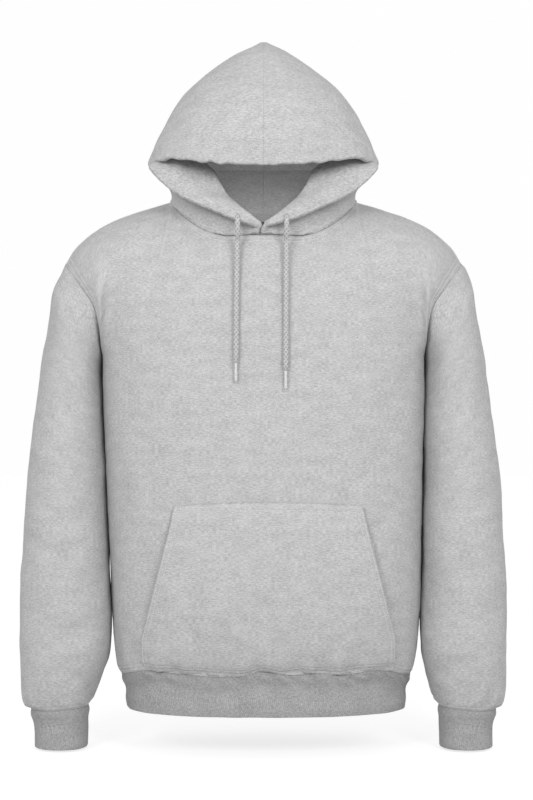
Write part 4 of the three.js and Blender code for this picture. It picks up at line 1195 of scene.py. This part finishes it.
def hood_surface(rows, columns):
    """A smooth surface through the guide points. Before the corner column it starts at the brim."""
    all_columns = np.arange(GUIDE_COLUMNS)
    lapel_columns = all_columns[CORNER_COLUMN:]
    behind = curve_through(np.arange(RIDGE_ROW + 1), hood_guides[:, CORNER_COLUMN:], rows)
    before = curve_through(np.arange(BRIM_ROW, RIDGE_ROW + 1),
                           hood_guides[BRIM_ROW:, :CORNER_COLUMN], np.maximum(rows, BRIM_ROW))
    whole = np.concatenate([before, behind], axis=1)
    upper = curve_through(all_columns, whole.swapaxes(0, 1), columns).swapaxes(0, 1)
    lower = curve_through(lapel_columns, behind.swapaxes(0, 1),
                          np.maximum(columns, CORNER_COLUMN)).swapaxes(0, 1)
    points = np.where((rows >= BRIM_ROW)[:, None, None], upper, lower)
    points[rows == 0] = hood_foot(np.maximum(columns, CORNER_COLUMN))
    return points


# Folds of a hood panel, by its column and row scaled to about millimetres.
hood_folds = {
    "left": [
        (16, 1.6, [(60, 230), (95, 250), (130, 255)]),
        (5, 1.6, [(96, 210), (108, 220), (116, 240)]),
        (5, 1.5, [(122, 205), (134, 212), (150, 226)]),
        (6, 1.4, [(123, 198), (134, 194), (150, 196)]),
        (14, 1.4, [(20, 330), (50, 322), (84, 318)]),
        (18, 1.8, [(170, 160), (215, 190), (250, 230)]),
        (16, 1.6, [(190, 90), (230, 105), (262, 95)]),
        (20, 1.6, [(250, 250), (290, 275), (320, 300)]),
    ],
    "right": [
        (16, 1.5, [(70, 240), (100, 262), (140, 262)]),
        (5, 1.7, [(100, 210), (110, 222), (117, 244)]),
        (5, 1.6, [(122, 206), (135, 214), (152, 222)]),
        (6, 1.5, [(123, 200), (136, 192), (152, 190)]),
        (14, 1.3, [(24, 318), (58, 330), (92, 326)]),
        (18, 1.8, [(175, 150), (220, 182), (256, 226)]),
        (16, 1.7, [(196, 84), (236, 96), (268, 100)]),
        (20, 1.6, [(246, 262), (286, 284), (322, 292)]),
    ],
}

# The brim rises towards its corners, where it is sewn down on the lapels.
brim_rise = table("across rise", [
    (0, 0), (53, 2), (87, 5), (121, 8.5), (138, 6), (152, 1.5), (200, 0),
])
lapel_rows = graded(215, 3.1, fine_start=1.1)[:-1] * BRIM_ROW
upper_rows = BRIM_ROW + graded(235, 3.4, fine_start=0.8, fine_end=1.0, margin=9) * (
    RIDGE_ROW - BRIM_ROW)
hood_rows = np.concatenate([lapel_rows, upper_rows])
brim_columns = graded(150, 3.1, fine_start=1.0)[:-1] * CORNER_COLUMN
lapel_columns = CORNER_COLUMN + graded(84, 2.4, fine_start=0.8, margin=9)[:-1] * 2
rest_columns = 6 + graded(300, 3.8, fine_end=1.0) * 6
hood_columns = np.concatenate([brim_columns, lapel_columns, rest_columns])
for side_name, sign in (("left", -1), ("right", 1)):
    points = hood_surface(hood_rows, hood_columns)
    points[..., 0] = np.maximum(points[..., 0], 0)
    if sign > 0:
        reach = (smooth(1 - hood_rows / 2.6)[:, None]
                 * smooth(1 - (hood_columns - CORNER_COLUMN) / 2.5)[None])
        reach = reach * (hood_rows < BRIM_ROW)[:, None]
        points[..., 0] -= THROAT_REACH * reach
        points[..., 1] -= THROAT_LIFT * reach * np.minimum(hood_rows, 1)[:, None]
    near_brim = np.exp(-(np.maximum(hood_rows - BRIM_ROW, 0) / 1.1) ** 2)[:, None]
    near_brim = near_brim * (hood_rows >= BRIM_ROW)[:, None] * (hood_columns < 5)[None]
    points[..., 2] += brim_rise(points[..., 0])["rise"] * near_brim * smooth(
        (CORNER_COLUMN + 1 - hood_columns) / 1.6)[None]
    at_edge = np.exp(-(np.maximum(hood_rows - BRIM_ROW, 0) / 0.35) ** 2)[:, None]
    at_edge = at_edge * (hood_rows >= BRIM_ROW)[:, None] * (hood_columns < CORNER_COLUMN)[None]
    wobble = ripples(points[..., 0], 21, 121 + sign) * away_from_seam(points[..., 0], 12)
    points[..., 2] += 0.9 * wobble * at_edge
    points[..., 0] *= sign
    cells = ((hood_rows[:-1] >= BRIM_ROW)[:, None]
             | (hood_columns[:-1] >= CORNER_COLUMN)[None])
    normals = grid_normals(points, sign, cells=cells)
    across = lengths_along(points, 1)
    down = lengths_along(points, 0)
    corner = int(np.argmin(np.abs(hood_columns - CORNER_COLUMN)))
    brim = int(np.argmin(np.abs(hood_rows - BRIM_ROW)))
    below = (hood_rows < BRIM_ROW)[:, None]
    to_lapel_edge = np.where(below, across - across[:, [corner]], 1e6)
    before = (hood_columns < CORNER_COLUMN)[None]
    to_brim_edge = np.where(before, down - down[[brim]], 1e6)
    corner_distance = np.linalg.norm(points - points[brim, corner], axis=-1)
    to_edge = np.minimum(np.minimum(np.abs(to_lapel_edge), np.abs(to_brim_edge)),
                         corner_distance)
    to_crown = np.where(below, 1e6, across)
    to_ridge = down[-1] - down
    to_back = across[:, -1:] - across
    to_seam = np.minimum(np.minimum(to_crown, to_ridge), to_back)
    to_foot = np.where(before, 1e6, down)
    centre_out = unit((points - (0, HOOD_HEART_Y, HOOD_HEART_Z)) * (0, 1, 1))
    normals = turned_to_seam(normals, centre_out, to_seam)
    normals = turned_to_seam(normals, neck_out(points), to_foot)
    column_mm, row_mm = np.meshgrid(hood_columns * 30, hood_rows * 26)
    height = points[..., 2]
    round_hood = points[..., 1] + points[..., 0]
    relief = folds(column_mm, row_mm, hood_folds[side_name])
    relief += 0.9 * waves(round_hood, height, 90, 91 + sign)
    relief += 0.25 * waves(round_hood, height, 26, 93 + sign)
    edge_run = np.where(before, across, down + 60)
    relief += ripples(edge_run, 14, 95 + sign) * np.exp(-to_edge / 12) * 0.8
    relief += needle_grooves(to_edge, HOOD_EDGE_NEEDLES, width=1.6)
    relief *= away_from_seam(to_seam, 18) * away_from_seam(to_foot)
    seam_depth = 0.05 + 2.3 * smooth((height - 185) / 38) + 0.5 * smooth((70 - height) / 30)
    relief -= seam_depth * np.exp(-(to_seam / 2.4) ** 2)
    relief += seam_roll(to_foot, NECK_ROLL + 1.1)
    edge_half = HOOD_CLOTH / 2 + 1.9 * smooth(1 - to_edge / 17)
    draw_in = rounded_edge(to_edge, 2 * edge_half)
    outer = points + normals * (relief * 0.8 + edge_half - draw_in)[..., None]
    inner = points + normals * (relief * 0.5 - edge_half + draw_in)[..., None]
    from_back = across - across[:, [-1]]
    up_the_back = np.broadcast_to(down[:, [-1]], across.shape)
    uv = np.stack([from_back + CUT_APART_ACROSS * sign, up_the_back + CUT_APART_ALONG * sign], -1)
    hood = cloth_shell(f"hood_{side_name}_cloth", outer, inner, uv, heather_fleece, cells=cells)
    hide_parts(f"hood_{side_name}")
    brim_line = rows_from(outer[brim:, :corner], normals[brim:, :corner],
                          to_brim_edge[brim:, :corner], HOOD_EDGE_NEEDLES)
    lapel_line = rows_from(outer[1:brim, corner:].swapaxes(0, 1),
                           normals[1:brim, corner:].swapaxes(0, 1),
                           to_lapel_edge[1:brim, corner:].T, HOOD_EDGE_NEEDLES)
    foot_lines = rows_from(outer[:, corner:], normals[:, corner:], down[:, corner:],
                           HOOD_FOOT_NEEDLES)
    hood_stitches = stitching(f"hood_{side_name}_stitches", brim_line + lapel_line + foot_lines)


# Pocket: one piece of fleece sewn to the front along its top, its lower sides and the hem
# seam. The slanted sides are hemmed and stay open for the hands.
POCKET_TOP_Z = -404
POCKET_TOP_ARCH = 5
POCKET_CENTRE_X = 6.5
POCKET_OPENING_END_Z = -563
POCKET_SEWN_LIFT = 1.3
POCKET_FULLNESS = 9
POCKET_MOUTH_LIFT = 6
POCKET_SEAM_ANGLE = 51
POCKET_NEEDLES = (3.5, 9.5)
pocket_sides = table("z half_width", [
    (-404, 122), (-420, 124.5), (-470, 135.5), (-520, 148), (-555, 158), (-572, 163.5),
    (-632, 165.5),
])
pocket_folds = [
    (13, 2.2, [(-8, -500), (4, -548), (20, -606)]),
    (14, 1.5, [(36, -450), (50, -490), (66, -528)]),
    (13, 1.4, [(-96, -560), (-84, -590), (-80, -615)]),
    (12, 1.3, [(96, -566), (92, -594), (84, -616)]),
    (14, 1.2, [(-40, -575), (-34, -600), (-44, -618)]),
    (12, -1.3, [(0, -596), (4, -612), (-2, -622)]),
    (12, 1.1, [(132, -560), (126, -590), (134, -616)]),
    (22, 1.0, [(-110, -430), (-60, -450), (-10, -440)]),
]


def front_surface(x, z):
    """The body's section solved for its depth at a place across and a height."""
    section = body_sections(z)
    share = np.minimum(np.abs(x - body_lean(z)) / section["half_width"], 1)
    depth = (1 - share ** section["squareness"]) ** (1 / section["squareness"])
    return np.stack([x, -section["front"] * depth, z], -1)


down_grid, across_grid = np.meshgrid(graded(226, 2.8, fine_start=1.0, fine_end=1.0),
                                     graded(300, 2.8, fine_start=1.0, fine_end=1.0),
                                     indexing="ij")
side_share = across_grid * 2 - 1
top = POCKET_TOP_Z + POCKET_TOP_ARCH * (1 - side_share ** 2)
bottom = hem_seam_z(side_share * POCKET_SEAM_ANGLE) + 1
z = top + (bottom - top) * down_grid
x = POCKET_CENTRE_X + side_share * pocket_sides(z)["half_width"]
base = front_surface(x, z)
out = unit(np.cross(front_surface(x + 1, z) - base, front_surface(x, z + 1) - base))
mouth_share = np.clip((POCKET_TOP_Z - z) / (POCKET_TOP_Z - POCKET_OPENING_END_Z), 0, 1)
mouth = np.abs(np.sin(np.pi * mouth_share)) ** 0.6
from_side = np.sqrt(np.maximum(1 - np.abs(side_share) ** 4, 0))
from_ends = np.abs(np.sin(np.pi * down_grid)) ** 0.7
fullness = POCKET_FULLNESS * from_side * from_ends + POCKET_MOUTH_LIFT * mouth * side_share ** 6
to_top = lengths_along(base, 0)
to_hem = to_top[-1:] - to_top
across = lengths_along(base, 1)
to_side = np.minimum(across, across[:, -1:] - across)
relief = folds(x, z, pocket_folds) * smooth(to_top / 25)
relief += 0.8 * waves(x, z, 80, 101) * smooth(to_top / 20) * smooth(to_side / 20)
relief += 0.25 * waves(x, z, 28, 103) * smooth(to_side / 12)
relief += ripples(x, 13, 30) * np.exp(-to_hem / 11) * 0.9
relief += ripples(x, 30, 40) * np.exp(-to_hem / 30) * 1.3
relief += ripples(x, 11, 105) * np.exp(-to_top / 7) * 0.25
relief += ripples(z, 13, 107) * np.exp(-to_side / 7) * 0.3
relief += needle_grooves(to_top, POCKET_NEEDLES) + needle_grooves(to_side, POCKET_NEEDLES)
relief += needle_grooves(to_hem, HEM_NEEDLES)
relief += seam_roll(to_hem, 3.2, 9)
lift = POCKET_SEWN_LIFT + fullness
draw_in = rounded_edge(np.minimum(to_top, to_side), FLEECE + 0.8)
outer = base + out * (lift + FLEECE + relief - draw_in)[..., None]
inner_floor = 0.9 - 1.4 * np.exp(-(to_hem / 7) ** 2)
inner = base + out * np.maximum(lift + relief * 0.6 + draw_in * 0.3, inner_floor)[..., None]
pocket = cloth_shell("pocket_cloth", outer, inner, np.stack([x + 0.3, z + 0.7], -1), heather_fleece)
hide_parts("pocket")
lines = rows_from(outer, out, to_top, POCKET_NEEDLES)
lines += rows_from(outer[::-1], out[::-1], to_hem[::-1], HEM_NEEDLES)
lines += rows_at_sides(outer, out, across, POCKET_NEEDLES)
pocket_stitches = stitching("pocket_stitches", lines)


# Neck tape: a narrow woven tape sewn over the seam of the back neck, inside.
TAPE_CLOTH = 1
TAPE_HALF_HEIGHT = 6
TAPE_START = 96
TAPE_CLEAR_OF_HOOD = 1.5

# Woven cotton tape: a fine twill, its diagonal lines drawn 1.4 mm apart.
TWILL_PITCH = 1.4
cotton_tape, tree = new_material("woven_cotton_tape")
tape_uv, _, tape_colour = marl(tree, "#c8c8c8", "#9c9c9c", 2.4, 1.2)
tape_turn = add_node(tree, "ShaderNodeMapping",
                     {"Vector": tape_uv.outputs["UV"], "Scale": (1000, 1000, 1),
                      "Rotation": (0, 0, math.radians(45))})
twill = add_node(tree, "ShaderNodeTexWave",
                 {"Vector": tape_turn.outputs[0], "Scale": np.pi / 10 / TWILL_PITCH,
                  "Distortion": 0.3},
                 wave_type="BANDS", bands_direction="X")
tape_bump = add_node(tree, "ShaderNodeBump",
                     {"Height": twill.outputs["Fac"], "Strength": 0.5, "Distance": 0.0004})
tape_shader = add_node(tree, "ShaderNodeBsdfPrincipled",
                       {"Base Color": tape_colour.outputs[2], "Roughness": 0.85,
                        "Specular IOR Level": 0.25, "Normal": tape_bump.outputs[0]})
add_node(tree, "ShaderNodeOutputMaterial", {"Surface": tape_shader.outputs[0]})

down_grid, round_grid = np.meshgrid(np.linspace(0, 1, 9), np.linspace(0, 1, 141), indexing="ij")
angle = TAPE_START + (360 - 2 * TAPE_START) * round_grid
seam = neck_point(np.minimum(angle, 360 - angle))
seam[..., 0] *= np.where(angle > 180, -1, 1)
inward = -level_out(seam, 0, NECK_CENTRE_Y)
place = seam + inward * (HOOD_CLOTH + TAPE_CLEAR_OF_HOOD)
place[..., 2] += TAPE_HALF_HEIGHT * (1 - 2 * down_grid)
run = lengths_along(place, 1)
wave = 0.15 * ripples(run, 9, 111)
outer = place + inward * wave[..., None]
inner = place + inward * (wave + TAPE_CLOTH)[..., None]
tape = cloth_shell("neck_tape_weave", outer, inner, np.stack([run, place[..., 2]], -1), cotton_tape)
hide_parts("neck_tape")


# Studio: a white floor just under the cuffs that glows as if lit from below, a white
# surround, two soft lights high in front, a small one in the hood, and a room light that
# is weaker from below and from straight above.
FLOOR_Z = -0.737
floor_white, tree = new_material("lit_white_acrylic_floor")
floor_noise = add_node(tree, "ShaderNodeTexNoise", {"Scale": 3.0, "Detail": 1.0})
floor_colour = add_node(tree, "ShaderNodeMix",
                        {0: floor_noise.outputs["Fac"], 6: linear("#a6a6a6"),
                         7: linear("#adadad")}, data_type="RGBA")
floor_shader = add_node(tree, "ShaderNodeBsdfPrincipled",
                        {"Base Color": floor_colour.outputs[2], "Roughness": 1.0,
                         "Specular IOR Level": 0.0, "Emission Color": linear("#ffffff"),
                         "Emission Strength": 0.76})
add_node(tree, "ShaderNodeOutputMaterial", {"Surface": floor_shader.outputs[0]})
bpy.ops.mesh.primitive_circle_add(vertices=96, radius=9.0, fill_type="NGON",
                                  location=(0, 0, FLOOR_Z))
floor = bpy.context.object
floor.name = "studio_floor"
floor.data.materials.append(floor_white)
floor.visible_diffuse = False

surround_white, tree = new_material("lit_white_surround")
surround_light = add_node(tree, "ShaderNodeEmission",
                          {"Color": linear("#fefefe"), "Strength": 1.0})
add_node(tree, "ShaderNodeOutputMaterial", {"Surface": surround_light.outputs[0]})
bpy.ops.mesh.primitive_uv_sphere_add(segments=64, ring_count=32, radius=9.0)
surround = bpy.context.object
surround.name = "studio_surround"
surround.data.materials.append(surround_white)
surround.visible_diffuse = False
surround.visible_glossy = False
surround.visible_shadow = False

world = bpy.data.worlds.new("soft_room_light")
world.use_nodes = True
bpy.context.scene.world = world
room_tree = world.node_tree
direction = add_node(room_tree, "ShaderNodeTexCoord")
heights = add_node(room_tree, "ShaderNodeSeparateXYZ", {0: direction.outputs["Generated"]})
room_strength = add_node(room_tree, "ShaderNodeMapRange",
                         {"Value": heights.outputs["Z"], "From Min": -0.7, "From Max": 0.3,
                          "To Min": 0.42, "To Max": 0.82})
top_loss = add_node(room_tree, "ShaderNodeMapRange",
                    {"Value": heights.outputs["Z"], "From Min": 0.3, "From Max": 1.0,
                     "To Min": 0.0, "To Max": 0.42})
room_level = add_node(room_tree, "ShaderNodeMath",
                      {0: room_strength.outputs["Result"], 1: top_loss.outputs["Result"]},
                      operation="SUBTRACT")
room = room_tree.nodes["Background"]
room.inputs["Color"].default_value = linear("#ffffff")
room_tree.links.new(room_level.outputs[0], room.inputs["Strength"])

for light_name, place, aim, size, power in [
        ("left_softbox", (-1.1, -2.4, 0.85), (0, 0, -0.3), 0.8, 24.5),
        ("right_softbox", (1.1, -2.4, 0.85), (0, 0, -0.3), 0.8, 24.5),
        ("hood_fill", (0.0, -0.03, 0.03), (0, 0.11, 0.0), 0.08, 0.06),
]:
    light_data = bpy.data.lights.new(light_name, "AREA")
    light_data.shape = "SQUARE"
    light_data.size = size
    light_data.energy = power
    light = bpy.data.objects.new(light_name, light_data)
    light.location = place
    heading = np.array(aim) - np.array(place)
    light.rotation_euler = (math.acos(-heading[2] / np.linalg.norm(heading)), 0,
                            math.atan2(heading[0], -heading[1]) + math.pi)
    light.visible_camera = False
    bpy.context.scene.collection.objects.link(light)
bpy.context.scene.view_settings.view_transform = "Standard"
